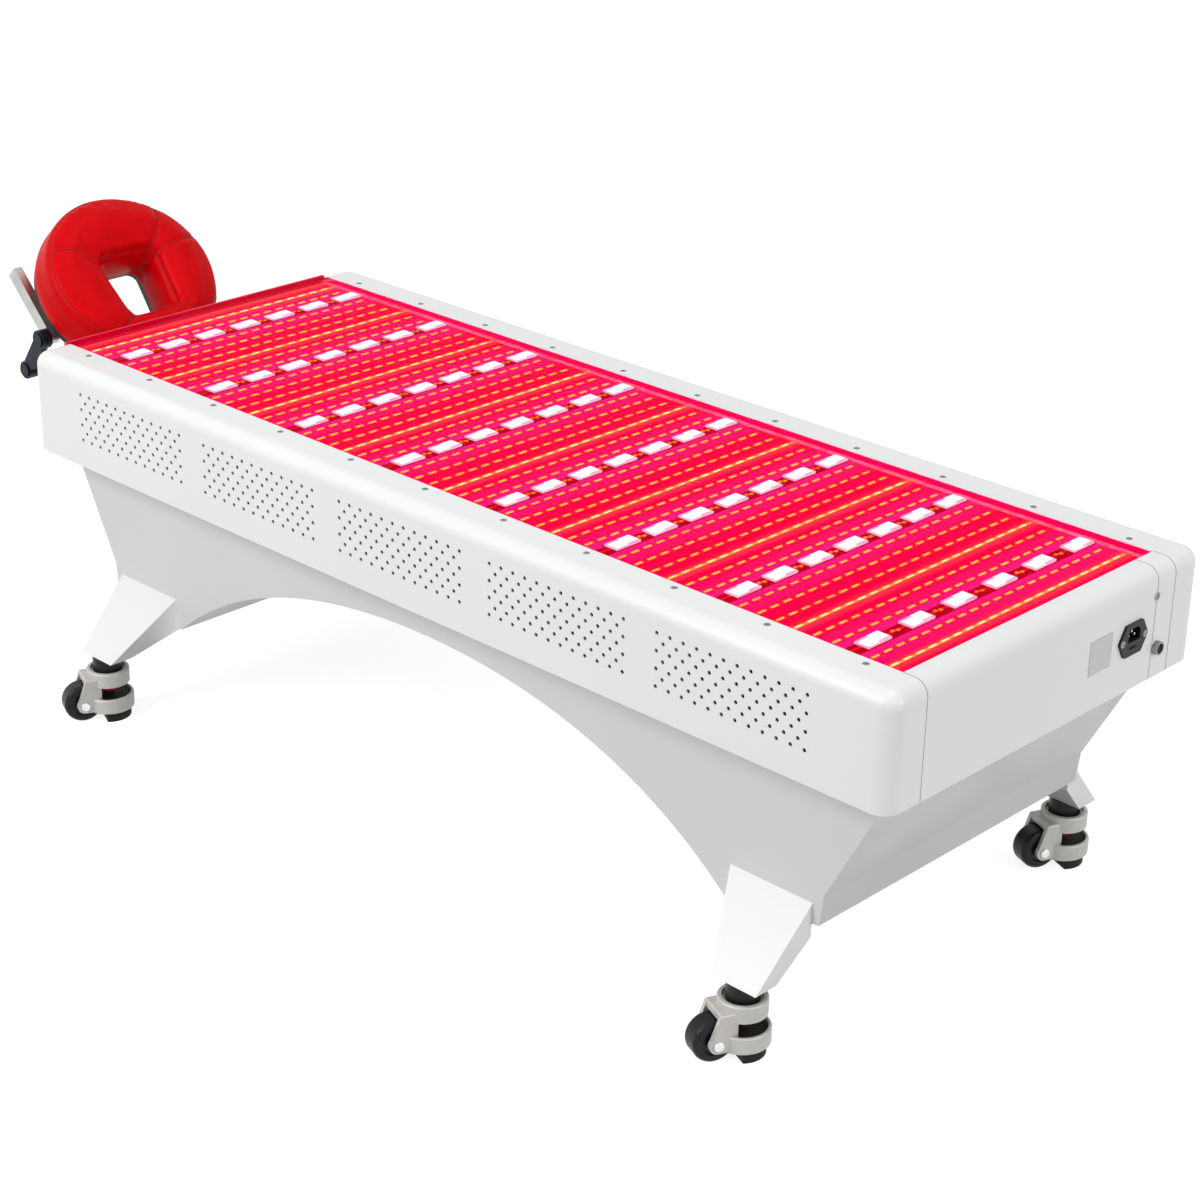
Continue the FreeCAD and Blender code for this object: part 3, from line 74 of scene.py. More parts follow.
def shade(tree, kind, sockets=(), **settings):
    """One shading node; sockets gives each input a value or another node's output."""
    made = tree.nodes.new("ShaderNode" + kind)
    for name, value in settings.items():
        setattr(made, name, value)
    for name, value in dict(sockets).items():
        if isinstance(value, bpy.types.NodeSocket):
            tree.links.new(value, made.inputs[name])
        else:
            made.inputs[name].default_value = value
    return made


def math_of(tree, operation, first, second):
    return shade(tree, "Math", {0: first, 1: second}, operation=operation).outputs[0]


def noise(tree, place, scale, detail=2.0, stretch=None):
    """Cloudy noise; stretch gives the scale along each axis its own factor."""
    if stretch:
        place = shade(tree, "Mapping", {"Vector": place, "Scale": stretch}).outputs["Vector"]
    return shade(tree, "TexNoise", {"Vector": place, "Scale": scale, "Detail": detail}).outputs["Fac"]


def spread(tree, value, low, high, start=0.3, end=0.7):
    """Maps a span of values, by default the useful one of a noise, to another."""
    return shade(tree, "MapRange", {"Value": value, "From Min": start, "From Max": end,
                                    "To Min": low, "To Max": high}).outputs["Result"]


def seen_directly(tree):
    """One for rays from the lens, from gloss and through glass, else nothing."""
    path = shade(tree, "LightPath")
    either = math_of(tree, "MAXIMUM", path.outputs["Is Camera Ray"], path.outputs["Is Glossy Ray"])
    return math_of(tree, "MAXIMUM", either, path.outputs["Is Transmission Ray"])


sky = bpy.data.worlds.new("studio_sky")
sky.use_nodes = True
sky_tree = sky.node_tree
sky_light = spread(sky_tree, seen_directly(sky_tree), 0.45, 1.0, 0.0, 1.0)
sky_tree.links.new(sky_light, sky_tree.nodes["Background"].inputs["Strength"])
sky_tree.nodes["Background"].inputs["Color"].default_value = (1.0, 1.0, 1.0, 1.0)
scene.world = sky

bpy.ops.object.select_all(action="DESELECT")
bpy.ops.mesh.primitive_plane_add(size=44)
floor = bpy.context.object
floor.name = "studio_floor"
paper = bpy.data.materials.new("floor_paper")
paper.use_nodes = True
paper_tree = paper.node_tree
paper_tree.nodes.clear()
paper_grain = noise(paper_tree, shade(paper_tree, "TexCoord").outputs["Object"], 30.0, 3.0)
paper_tone = spread(paper_tree, paper_grain, 0.36, 0.40, 0.0, 1.0)
paper_face = shade(paper_tree, "BsdfDiffuse", {"Color": paper_tone})
paper_glow = math_of(paper_tree, "MULTIPLY", seen_directly(paper_tree), 0.85)
paper_white = shade(paper_tree, "Emission", {"Color": (1.0, 1.0, 1.0, 1.0), "Strength": paper_glow})
paper_sum = shade(paper_tree, "AddShader", {0: paper_face.outputs[0], 1: paper_white.outputs[0]})
shade(paper_tree, "OutputMaterial", {"Surface": paper_sum.outputs[0]})
floor.data.materials.append(paper)

# The base: folded sheet steel sides, ends and arch, and four pressed legs welded to it,
# powder coated; the base's coat is greyer than the legs' as painted shade, and its foot end
# darker again as more painted shade. The coat has a fine orange peel.


def finish(name):
    """A new material with its tree, its shader and the place on the object."""
    material = bpy.data.materials.new(name)
    material.use_nodes = True
    tree = material.node_tree
    return material, tree, tree.nodes["Principled BSDF"], shade(tree, "TexCoord").outputs["Object"]


def ramp(tree, value, *stops):
    """A colour for each value, blended between stops of place and colour."""
    made = shade(tree, "ValToRGB", {"Fac": value})
    elements = made.color_ramp.elements
    while len(elements) < len(stops):
        elements.new(1.0)
    for element, (at, colour) in zip(elements, stops):
        element.position = at
        element.color = (*colour, 1.0)
    return made.outputs["Color"]


def bump(tree, shader, height, strength, distance):
    made = shade(tree, "Bump", {"Height": height, "Strength": strength, "Distance": distance})
    tree.links.new(made.outputs["Normal"], shader.inputs["Normal"])


def paint(material, *names):
    """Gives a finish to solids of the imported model."""
    for name in names:
        for holder in nodes[name].material_slots:
            holder.material = material


def powder_coat(name, low, high):
    material, tree, shader, place = finish(name)
    cloud = noise(tree, place, 2.5, 3.0)
    tree.links.new(ramp(tree, cloud, (0.3, low), (0.7, high)), shader.inputs["Base Color"])
    tree.links.new(spread(tree, noise(tree, place, 9.0, 4.0), 0.30, 0.40), shader.inputs["Roughness"])
    bump(tree, shader, noise(tree, place, 420.0, 1.0), 0.06, 0.0006)
    return material


# painted shade: the base's coat is greyer than the legs' white, for the shade under the deck
painted_shade_base_coat = powder_coat("base_powder_coat_with_painted_shade", (0.64, 0.645, 0.65), (0.68, 0.685, 0.69))
paint(painted_shade_base_coat, "base_near_side", "base_far_side", "base_head_end", "base_arch_soffit")
# painted shade: the foot end is darker again than the base's sides
painted_shade_foot_end_coat = powder_coat("foot_end_powder_coat_with_painted_shade", (0.56, 0.565, 0.57), (0.595, 0.60, 0.605))
paint(painted_shade_foot_end_coat, "base_foot_end")
white_coat = powder_coat("white_powder_coat", (0.81, 0.815, 0.82), (0.84, 0.845, 0.85))
paint(white_coat, "leg_near_head", "leg_far_head", "leg_near_foot", "leg_far_foot")


def brushed_metal(name, low, high, scale, stretch, rough):
    material, tree, shader, place = finish(name)
    lines = noise(tree, place, scale, 3.0, stretch)
    tree.links.new(ramp(tree, lines, (0.3, low), (0.7, high)), shader.inputs["Base Color"])
    tree.links.new(spread(tree, lines, *rough), shader.inputs["Roughness"])
    shader.inputs["Metallic"].default_value = 1.0
    bump(tree, shader, lines, 0.05, 0.0002)
    return material


zinc_plate = brushed_metal("bright_zinc_plate", (0.55, 0.55, 0.54), (0.72, 0.71, 0.69), 160.0,
                           (1.0, 1.0, 1.0), (0.26, 0.40))
paint(zinc_plate, "frame_bolts")

# The casters: levelling casters with a cast and painted alloy housing, a nylon wheel on a
# steel axle bolt, a red thumb dial that screws a rubber-shod foot down, and a black stem.
corners = ("near_head", "far_head", "near_foot", "far_foot")

cast_alloy, tree, shader, place = finish("grey_cast_alloy")
skin = noise(tree, place, 70.0, 4.0)
alloy_tone = ramp(tree, skin, (0.3, (0.53, 0.515, 0.49)), (0.7, (0.60, 0.585, 0.56)))
tree.links.new(alloy_tone, shader.inputs["Base Color"])
tree.links.new(spread(tree, skin, 0.42, 0.56), shader.inputs["Roughness"])
shader.inputs["Metallic"].default_value = 0.25
bump(tree, shader, noise(tree, place, 900.0, 2.0), 0.14, 0.0005)
paint(cast_alloy, *("caster_housing_" + corner for corner in corners))


def moulded(name, low, high, grain, rough):
    material, tree, shader, place = finish(name)
    cloud = noise(tree, place, 40.0, 4.0)
    tree.links.new(ramp(tree, cloud, (0.3, low), (0.7, high)), shader.inputs["Base Color"])
    tree.links.new(spread(tree, cloud, *rough), shader.inputs["Roughness"])
    bump(tree, shader, noise(tree, place, grain, 2.0), 0.12, 0.0004)
    shader.inputs["Specular IOR Level"].default_value = 0.22
    return material


black_nylon = moulded("black_nylon", (0.006, 0.006, 0.007), (0.014, 0.014, 0.015), 700.0, (0.30, 0.45))
paint(black_nylon, *("caster_wheel_" + corner for corner in corners))
red_dial = moulded("red_dial_plastic", (0.50, 0.008, 0.008), (0.62, 0.014, 0.012), 600.0, (0.32, 0.42))
paint(red_dial, *("caster_dial_" + corner for corner in corners))
foot_rubber = moulded("black_foot_rubber", (0.010, 0.010, 0.010), (0.022, 0.021, 0.020), 500.0, (0.62, 0.78))
paint(foot_rubber, *("caster_foot_" + corner for corner in corners))
bright_steel = brushed_metal("bright_steel", (0.68, 0.68, 0.68), (0.80, 0.80, 0.79), 90.0,
                             (1.0, 1.0, 1.0), (0.10, 0.20))
paint(bright_steel, *("caster_axle_" + corner for corner in corners))
paint(black_nylon, "caster_stems")

# Inside the light box: a galvanised frame of folded rails, red with the light of the plate along
# its top, a sheet floor pan, LED drivers in aluminium cases, a control board and a cooling fan.
galvanised, tree, shader, place = finish("galvanised_sheet")
spangle = shade(tree, "TexVoronoi", {"Vector": place, "Scale": 90.0}).outputs["Color"]
zinc_tone = ramp(tree, spangle, (0.1, (0.46, 0.48, 0.50)), (0.9, (0.62, 0.64, 0.66)))
tree.links.new(zinc_tone, shader.inputs["Base Color"])
tree.links.new(spread(tree, spangle, 0.34, 0.52, 0.0, 1.0), shader.inputs["Roughness"])
shader.inputs["Metallic"].default_value = 0.9
lit_level = 0.5705
rail_height = shade(tree, "SeparateXYZ", {"Vector": place}).outputs["Z"]
lit_rail = math_of(tree, "GREATER_THAN", rail_height, lit_level)
tree.links.new(lit_rail, shader.inputs["Emission Strength"])
shader.inputs["Emission Color"].default_value = (0.92, 0.0, 0.045, 1.0)
galvanised.cycles.emission_sampling = "NONE"
paint(galvanised, "deck_frame", "deck_floor_pan")

case_alloy = brushed_metal("driver_case_alloy", (0.60, 0.61, 0.62), (0.72, 0.73, 0.74), 60.0,
                           (1.0, 14.0, 14.0), (0.30, 0.44))
paint(case_alloy, "led_drivers")

board_green, tree, shader, place = finish("green_circuit_board")
tracks = shade(tree, "TexBrick", {"Vector": place, "Scale": 60.0, "Color1": (0.012, 0.10, 0.035, 1.0),
                                  "Color2": (0.016, 0.14, 0.045, 1.0), "Mortar": (0.03, 0.22, 0.08, 1.0)})
tree.links.new(tracks.outputs["Color"], shader.inputs["Base Color"])
tree.links.new(spread(tree, noise(tree, place, 50.0), 0.25, 0.4), shader.inputs["Roughness"])
paint(board_green, "control_board")

black_plastic = moulded("black_moulded_plastic", (0.010, 0.010, 0.011), (0.020, 0.020, 0.021), 900.0,
                        (0.34, 0.50))
paint(black_plastic, "fan_frame", "fan_rotor")

# The LED plate: a flat red board under the window, crossed by fifty-four LED strips. Each strip
# is a narrow board soldered with small amber chips; every seventh carries the white modules.
row_middle = -0.0155
row_pitch = 0.2215
strips_per_row = 7
strip_count = 54
bright_strip = 4
strip_pitch = row_pitch / strips_per_row
half_run = 0.5 * (strip_count - 1) * strip_pitch
strip_top = 0.5726


def row_distance(tree, place):
    """Nought on each module row, one halfway to the next."""
    along = shade(tree, "SeparateXYZ", {"Vector": place}).outputs["X"]
    rows = math_of(tree, "DIVIDE", math_of(tree, "SUBTRACT", along, row_middle - 0.5 * row_pitch), row_pitch)
    return math_of(tree, "MULTIPLY", math_of(tree, "PINGPONG", rows, 0.5), 2.0)


def bright_distance(tree, place):
    """Nought on the brightest strips, between the rows and at both ends; one at half a row's pitch."""
    along = shade(tree, "SeparateXYZ", {"Vector": place}).outputs["X"]
    start = row_middle - 0.5 * row_pitch + bright_strip * strip_pitch
    rows = math_of(tree, "DIVIDE", math_of(tree, "SUBTRACT", along, start), row_pitch)
    between = math_of(tree, "MULTIPLY", math_of(tree, "PINGPONG", rows, 0.5), 2.0)
    out = math_of(tree, "ABSOLUTE", math_of(tree, "SUBTRACT", along, row_middle), 0.0)
    end = math_of(tree, "ABSOLUTE", math_of(tree, "SUBTRACT", out, half_run), 0.0)
    return math_of(tree, "MINIMUM", between, math_of(tree, "DIVIDE", end, 0.5 * row_pitch))


def glowing(name, strength):
    """A finish that shines by its own colour, save downwards, and takes little light itself."""
    material, tree, shader, place = finish(name)
    material.cycles.emission_sampling = "NONE"
    facing = shade(tree, "SeparateXYZ", {"Vector": shade(tree, "NewGeometry").outputs["Normal"]}).outputs["Z"]
    not_under = math_of(tree, "GREATER_THAN", facing, -0.5)
    tree.links.new(math_of(tree, "MULTIPLY", not_under, strength), shader.inputs["Emission Strength"])
    shader.inputs["Base Color"].default_value = (0.02, 0.0, 0.002, 1.0)
    shader.inputs["Specular IOR Level"].default_value = 0.0
    shader.inputs["Roughness"].default_value = 0.6
    return material, tree, shader, place


def red_ground(tree, place):
    """The plate's own light: magenta beside the module rows, red between them, hazy by bright strips."""
    ground = ramp(tree, row_distance(tree, place),
                  (0.00, (0.46, 0.0, 0.010)), (0.108, (0.50, 0.0, 0.012)), (0.125, (1.0, 0.010, 0.20)),
                  (0.34, (1.0, 0.004, 0.13)), (0.62, (1.0, 0.0, 0.060)), (1.00, (1.0, 0.0, 0.045)))
    haze = ramp(tree, bright_distance(tree, place),
                (0.00, (0.06, 0.07, 0.02)), (0.05, (0.03, 0.03, 0.01)), (0.13, (0.0, 0.0, 0.0)))
    return shade(tree, "VectorMath", {0: ground, 1: haze}, operation="ADD").outputs[0]


lit_plate, tree, shader, place = glowing("lit_red_plate", 1.04)
tree.links.new(red_ground(tree, place), shader.inputs["Emission Color"])
paint(lit_plate, "led_plate")

lit_strip, tree, shader, place = glowing("lit_strip_board", 1.04)
along = shade(tree, "SeparateXYZ", {"Vector": place}).outputs["X"]
past_line = math_of(tree, "SUBTRACT", along, row_middle + 0.5 * strip_pitch)
strips = math_of(tree, "DIVIDE", past_line, strip_pitch)
from_line = math_of(tree, "PINGPONG", strips, 0.5)
# painted light: along each strip's line of chips the board glows orange, brighter by the bright strips
chip_line_glow = ramp(tree, bright_distance(tree, place),
              (0.00, (1.0, 0.36, 0.03)), (0.06, (1.0, 0.26, 0.03)), (0.12, (0.84, 0.012, 0.008)))
line_share = ramp(tree, from_line, (0.045, (1.0, 1.0, 1.0)), (0.085, (0.0, 0.0, 0.0)))
strip_glow = shade(tree, "MixRGB", {"Fac": line_share, "Color1": red_ground(tree, place), "Color2": chip_line_glow})
tree.links.new(strip_glow.outputs["Color"], shader.inputs["Emission Color"])
paint(lit_strip, "led_strips")


def new_block(name, place, size):
    """Starts a piece from a block, its size and place held in its mesh."""
    bpy.ops.object.select_all(action="DESELECT")
    bpy.ops.mesh.primitive_cube_add(size=1, location=place)
    block = bpy.context.object
    block.name = name
    block.scale = size
    bpy.ops.object.transform_apply(location=True, rotation=True, scale=True)
    return block


def choose(piece):
    """Makes a piece the only one that is selected, and the active one."""
    bpy.ops.object.select_all(action="DESELECT")
    piece.select_set(True)
    bpy.context.view_layer.objects.active = piece


def pick(piece, test):
    """Opens a piece for editing with the faces selected whose centre and normal pass a test."""
    choose(piece)
    bpy.ops.object.mode_set(mode="EDIT")
    bpy.ops.mesh.select_mode(type="FACE")
    bpy.ops.mesh.select_all(action="DESELECT")
    bpy.ops.object.mode_set(mode="OBJECT")
    for face in piece.data.polygons:
        face.select = test(face.center, face.normal)
    bpy.ops.object.mode_set(mode="EDIT")


def done():
    """Closes the piece that is open for editing."""
    bpy.ops.object.mode_set(mode="OBJECT")


def raise_top(piece, inset, rise):
    """Insets the top of a piece and lifts the face inside, or sinks it."""
    pick(piece, lambda centre, normal: normal.z > 0.9)
    bpy.ops.mesh.inset(thickness=inset)
    bpy.ops.transform.translate(value=(0.0, 0.0, rise))
    done()


def apply(piece, name):
    choose(piece)
    bpy.ops.object.modifier_apply(modifier=name)


def repeat(piece, count, step):
    """Sets a row of copies, each a step from the last."""
    row = piece.modifiers.new("row", "ARRAY")
    row.count = count
    row.use_relative_offset = False
    row.use_constant_offset = True
    row.constant_offset_displace = step
    apply(piece, "row")


def soften(piece, width):
    """Breaks the sharp edges of a piece."""
    edge = piece.modifiers.new("edge", "BEVEL")
    edge.width = width
    edge.segments = 1
    edge.limit_method = "ANGLE"
    apply(piece, "edge")


def smooth(piece, degrees=35):
    choose(piece)
    bpy.ops.object.shade_smooth_by_angle(angle=math.radians(degrees))


def fit(piece, body, material):
    """Gives a finished piece its material and its body."""
    piece.data.materials.clear()
    piece.data.materials.append(material)
    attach(piece, body)


chip_pitch = 0.026
chip_rows = 20
chip_size = (0.0034, 0.0140, 0.0010)
module_room = 0.010
first_chip = (row_middle - half_run, -0.5 * (chip_rows - 1) * chip_pitch, strip_top + 0.5 * chip_size[2])
chips = new_block("amber_chips", first_chip, chip_size)
raise_top(chips, 0.0008, 0.0004)
repeat(chips, chip_rows, (0.0, chip_pitch, 0.0))
repeat(chips, strip_count, (strip_pitch, 0.0, 0.0))


def on_module_row(centre, normal):
    rows = (centre.x - row_middle) / row_pitch + 0.5
    return abs(rows - round(rows)) * row_pitch < module_room


pick(chips, on_module_row)
bpy.ops.mesh.delete(type="FACE")
done()
lit_chip, tree, shader, place = glowing("lit_amber_chip", 1.15)
chip_tone = ramp(tree, bright_distance(tree, place),
                 (0.00, (1.0, 0.86, 0.24)), (0.06, (1.0, 0.80, 0.18)), (0.14, (1.0, 0.50, 0.05)),
                 (1.00, (1.0, 0.46, 0.05)))
flicker = spread(tree, noise(tree, place, 24.0, 1.0), 0.72, 1.06)
chip_light = shade(tree, "VectorMath", {0: chip_tone, 1: flicker}, operation="MULTIPLY").outputs[0]
tree.links.new(chip_light, shader.inputs["Emission Color"])
fit(chips, "bed", lit_chip)

# The white modules: seven blocks on every seventh strip, six on the last, each with two square
# lenses set a little out of line, and small amber indicator chips in the gaps between them.
module_span = 0.456
module_offset = 0.016
module_top = 0.5756
row_count = 8
module_rows = []
for row in range(row_count):
    count = 6 if row == row_count - 1 else 7
    row_line = row_middle + (row - 0.5 * (row_count - 1)) * row_pitch
    module_rows.append([(row_line, module_offset + module_span * (spot / (count - 1) - 0.5))
                        for spot in range(count)])


def set_copies(piece, places):
    """Puts a copy of a piece at each place and joins them into one."""
    bpy.ops.object.select_all(action="DESELECT")
    for place in places:
        copy = bpy.data.objects.new(piece.name + "_copy", piece.data.copy())
        copy.data.transform(place)
        scene.collection.objects.link(copy)
        copy.select_set(True)
        bpy.context.view_layer.objects.active = copy
    bpy.ops.object.join()
    joined = bpy.context.object
    name = piece.name
    bpy.data.objects.remove(piece, do_unlink=True)
    joined.name = name
    return joined


lit_module, tree, shader, place = glowing("lit_white_module", 1.10)
module_tone = ramp(tree, noise(tree, place, 40.0, 2.0), (0.3, (1.0, 0.30, 0.52)), (0.7, (1.0, 0.46, 0.66)))
tree.links.new(module_tone, shader.inputs["Emission Color"])
paint(lit_module, "led_modules")

lens_skew, lens_side = 0.0022, 0.0118
lens_size = (0.0195, 0.0228, 0.0004)
lens = new_block("module_lenses", (lens_skew, -lens_side, module_top), lens_size)
raise_top(lens, 0.0022, 0.0001)
repeat(lens, 2, (-2 * lens_skew, 2 * lens_side, 0.0))
lenses = set_copies(lens, [Matrix.Translation((x, y, 0.0)) for row in module_rows for x, y in row])
lit_lens, tree, shader, place = glowing("lit_white_lens", 1.14)
lens_tone = ramp(tree, noise(tree, place, 60.0, 2.0), (0.3, (1.0, 0.95, 0.97)), (0.7, (1.0, 1.0, 1.0)))
tree.links.new(lens_tone, shader.inputs["Emission Color"])
fit(lenses, "bed", lit_lens)

speck_size = (0.0044, 0.0050, 0.0012)
speck = new_block("indicator_chips", (-0.0012, -0.004, strip_top + 0.5 * speck_size[2]), speck_size)
raise_top(speck, 0.0009, 0.0004)
repeat(speck, 2, (0.0026, 0.0084, 0.0))
specks = set_copies(speck, [Matrix.Translation((x, (y + beyond) / 2, 0.0)) for row in module_rows
                            for (x, y), (_, beyond) in zip(row, row[1:])])
lit_speck, tree, shader, place = glowing("lit_indicator_chip", 1.1)
speck_tone = ramp(tree, noise(tree, place, 30.0, 1.0), (0.3, (1.0, 0.10, 0.01)), (0.7, (1.0, 0.26, 0.03)))
tree.links.new(speck_tone, shader.inputs["Emission Color"])
fit(specks, "bed", lit_speck)

# The window: one clear acrylic sheet that the user lies on, rebated so that its face is flush
# with the rims. It is polished, with faint wipe marks.
acrylic, tree, shader, place = finish("clear_acrylic")
wipe_marks = noise(tree, place, 6.0, 4.0, (1.0, 5.0, 1.0))
tree.links.new(spread(tree, wipe_marks, 0.0, 0.035), shader.inputs["Roughness"])
shader.inputs["Base Color"].default_value = (1.0, 1.0, 1.0, 1.0)
shader.inputs["Transmission Weight"].default_value = 1.0
shader.inputs["IOR"].default_value = 1.02
paint(acrylic, "acrylic_window")

# The skin of the light box: rounded side, foot and head panels of white powder-coated sheet, the
# sides perforated for air. A trim along the head edge of the window and the strips that seal the
# gaps at both ends of the plate glow with its light.
paint(white_coat, "near_side_panel", "far_side_panel", "foot_end_panel", "head_end_panel")
trim_glow, tree, shader, place = finish("red_lit_trim")
trim_tone = ramp(tree, noise(tree, place, 30.0), (0.3, (0.56, 0.0, 0.016)), (0.7, (0.66, 0.0, 0.022)))
tree.links.new(trim_tone, shader.inputs["Emission Color"])
shader.inputs["Emission Strength"].default_value = 0.9
shader.inputs["Base Color"].default_value = (0.05, 0.001, 0.002, 1.0)
trim_glow.cycles.emission_sampling = "NONE"
paint(trim_glow, "head_edge_trim")

seal_level, seal_length, seal_height = 0.5719, 0.5440, 0.0074
for name, middle, width in (("head_light_seal", -0.8944, 0.0060), ("foot_light_seal", 0.8682, 0.0150)):
    light_seal = new_block(name, (middle, 0.0, seal_level), (width, seal_length, seal_height))
    raise_top(light_seal, 0.0012, -0.0006)
    soften(light_seal, 0.0003)
    fit(light_seal, "bed", trim_glow)

# The joints of the foot panel: grey beads, their grey painted shade of the joint gaps, where it meets
# the two sides and along the service strip, laid from the window over the rounded edge and down the face.
deck_end, deck_top, deck_bottom = 0.900, 0.586, 0.418
edge_round = 0.022
window_side, service_line = 0.279, 0.236
bead_lead = 0.018
bead_width, bead_rise = 0.0011, 0.0002
# painted shade: the beads' grey stands for the shade in the joint gaps
joint_shade, tree, shader, place = finish("grey_joint_shade")
bead_tone = ramp(tree, noise(tree, place, 60.0, 3.0), (0.3, (0.20, 0.20, 0.20)), (0.7, (0.30, 0.30, 0.30)))
tree.links.new(bead_tone, shader.inputs["Base Color"])
tree.links.new(spread(tree, noise(tree, place, 200.0), 0.5, 0.7), shader.inputs["Roughness"])


def joint_bead(name, across):
    """A bead over the foot edge at one place across the bed."""
    arc_start = deck_end - edge_round
    bead = new_block(name, (arc_start - 0.5 * bead_lead, across, deck_top),
                     (bead_lead, bead_width, 2 * bead_rise))
    pick(bead, lambda centre, normal: normal.x > 0.9)
    bpy.ops.mesh.spin(steps=10, angle=math.radians(-90), center=(arc_start, across, deck_top - edge_round),
                      axis=(0.0, 1.0, 0.0))
    bpy.ops.mesh.extrude_region_move(
        TRANSFORM_OT_translate={"value": (0.0, 0.0, deck_bottom - deck_top + edge_round)})
    bpy.ops.mesh.select_all(action="SELECT")
    bpy.ops.mesh.remove_doubles(threshold=0.00001)
    bpy.ops.mesh.normals_make_consistent(inside=False)
    done()
    smooth(bead)
    fit(bead, "bed", joint_shade)


joint_bead("near_joint_bead", -window_side)
joint_bead("far_joint_bead", window_side)
joint_bead("service_joint_bead", service_line)

# The panel screws: small countersunk cross-head screws of dull steel, in a row along each rim,
# with one on the foot face and two that hold the power inlet.
screw_radius = 0.0052


def new_disc(name, place, radius, depth, sides=32):
    """Starts a piece from an upright round blank, its place held in its mesh."""
    bpy.ops.object.select_all(action="DESELECT")
    bpy.ops.mesh.primitive_cylinder_add(vertices=sides, radius=radius, depth=depth, location=place)
    disc = bpy.context.object
    disc.name = name
    bpy.ops.object.transform_apply(location=True, rotation=True, scale=True)
    return disc


def cut_away(piece, cutter):
    """Takes one shape out of a piece and throws the cutter away."""
    recess = piece.modifiers.new("recess", "BOOLEAN")
    recess.object = cutter
    recess.operation = "DIFFERENCE"
    recess.solver = "EXACT"
    apply(piece, "recess")
    bpy.data.objects.remove(cutter, do_unlink=True)


def new_screw(name, radius):
    """A dished screw head with a cross recess, its face up at the origin."""
    head = new_disc(name, (0.0, 0.0, -0.0006), radius, 0.0022, 24)
    pick(head, lambda centre, normal: normal.z > 0.9)
    bpy.ops.mesh.bevel(offset=0.0004, segments=2, affect="EDGES")
    done()
    for long, wide in ((1.25, 0.30), (0.30, 1.25)):
        slot = new_block("driver_slot", (0.0, 0.0, 0.0006), (long * radius, wide * radius, 0.0016))
        cut_away(head, slot)
    smooth(head, 40)
    return head


to_foot = Matrix.Rotation(math.radians(90), 4, "Y")
rim_screws, slot_turn = 11, 0.7
first_screw, screw_pitch, screw_line, screw_level = -0.812, 0.1624, 0.293, 0.5858
foot_screw, foot_screw_scale = (0.9006, service_line, 0.544), 1.2
inlet_screws = ((0.9042, 0.155, 0.498), (0.9042, 0.209, 0.498))
screw_places = [Matrix.Translation((first_screw + screw_pitch * step, side * screw_line, screw_level))
                @ Matrix.Rotation(slot_turn * step, 4, "Z") for side in (-1, 1) for step in range(rim_screws)]
screw_places.append(Matrix.Translation(foot_screw) @ to_foot @ Matrix.Scale(foot_screw_scale, 4))
screw_places += [Matrix.Translation(spot) @ to_foot for spot in inlet_screws]
screws = set_copies(new_screw("cross_head_screws", screw_radius), screw_places)
screw_steel = brushed_metal("dull_screw_steel", (0.24, 0.24, 0.24), (0.36, 0.36, 0.35), 300.0,
                            (1.0, 1.0, 1.0), (0.30, 0.45))
fit(screws, "bed", screw_steel)
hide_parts("panel_screws")

# The mains inlet: a moulded flange with a recess, three plated blades in it and a fuse drawer
# below. Beside it sit a round control socket with a dark insert and a bare metal plate.
paint(black_plastic, "power_inlet", "fuse_drawer")

earth_blade, blade_size = (0.8925, 0.182, 0.5085), (0.0130, 0.0020, 0.0040)
blade_steps = ((0.0, 0.0, 0.0), (0.0, -0.007, -0.006), (0.0, 0.007, -0.006))
blades = new_block("inlet_blades", earth_blade, blade_size)
pick(blades, lambda centre, normal: normal.x > 0.9)
bpy.ops.mesh.inset(thickness=0.0005)
bpy.ops.transform.translate(value=(0.0008, 0.0, 0.0))
done()
soften(blades, 0.0003)
blades = set_copies(blades, [Matrix.Translation(step) for step in blade_steps])
fit(blades, "bed", bright_steel)

paint(screw_steel, "control_socket")
insert_place, insert_radius, insert_depth = (0.9034, 0.246, 0.464), 0.0074, 0.0030
insert = new_disc("socket_insert", (0.0, 0.0, 0.0), insert_radius, insert_depth)
pick(insert, lambda centre, normal: normal.z > 0.9)
bpy.ops.mesh.inset(thickness=0.0012)
bpy.ops.transform.translate(value=(0.0, 0.0, -0.0008))
bpy.ops.mesh.inset(thickness=0.0030)
bpy.ops.mesh.extrude_region_move(TRANSFORM_OT_translate={"value": (0.0, 0.0, 0.0016)})
done()
soften(insert, 0.0002)
insert = set_copies(insert, [Matrix.Translation(insert_place) @ to_foot])
smooth(insert)
fit(insert, "bed", black_plastic)

plate_alloy = brushed_metal("bare_plate_alloy", (0.38, 0.38, 0.39), (0.48, 0.48, 0.49), 50.0,
                            (1.0, 1.0, 18.0), (0.28, 0.40))
paint(plate_alloy, "rating_plate")

# The face cradle's frame: bright rods that slide in sockets behind the head panel, a pivot shaft,
# two dark cast links, flat silver arms, short pivot pins and a plastic lock knob.
paint(bright_steel, "cradle_rods", "lower_pivot_shaft", "upper_pivot_pins")
link_enamel = moulded("dark_link_enamel", (0.003, 0.006, 0.014), (0.006, 0.010, 0.022), 260.0, (0.28, 0.40))
paint(link_enamel, "cradle_links")
arm_alloy = brushed_metal("silver_arm_alloy", (0.44, 0.44, 0.43), (0.54, 0.54, 0.52), 40.0,
                          (1.0, 20.0, 1.0), (0.24, 0.36))
paint(arm_alloy, "cradle_arms")
paint(black_plastic, "lock_knob")
paint(zinc_plate, "rod_sockets")

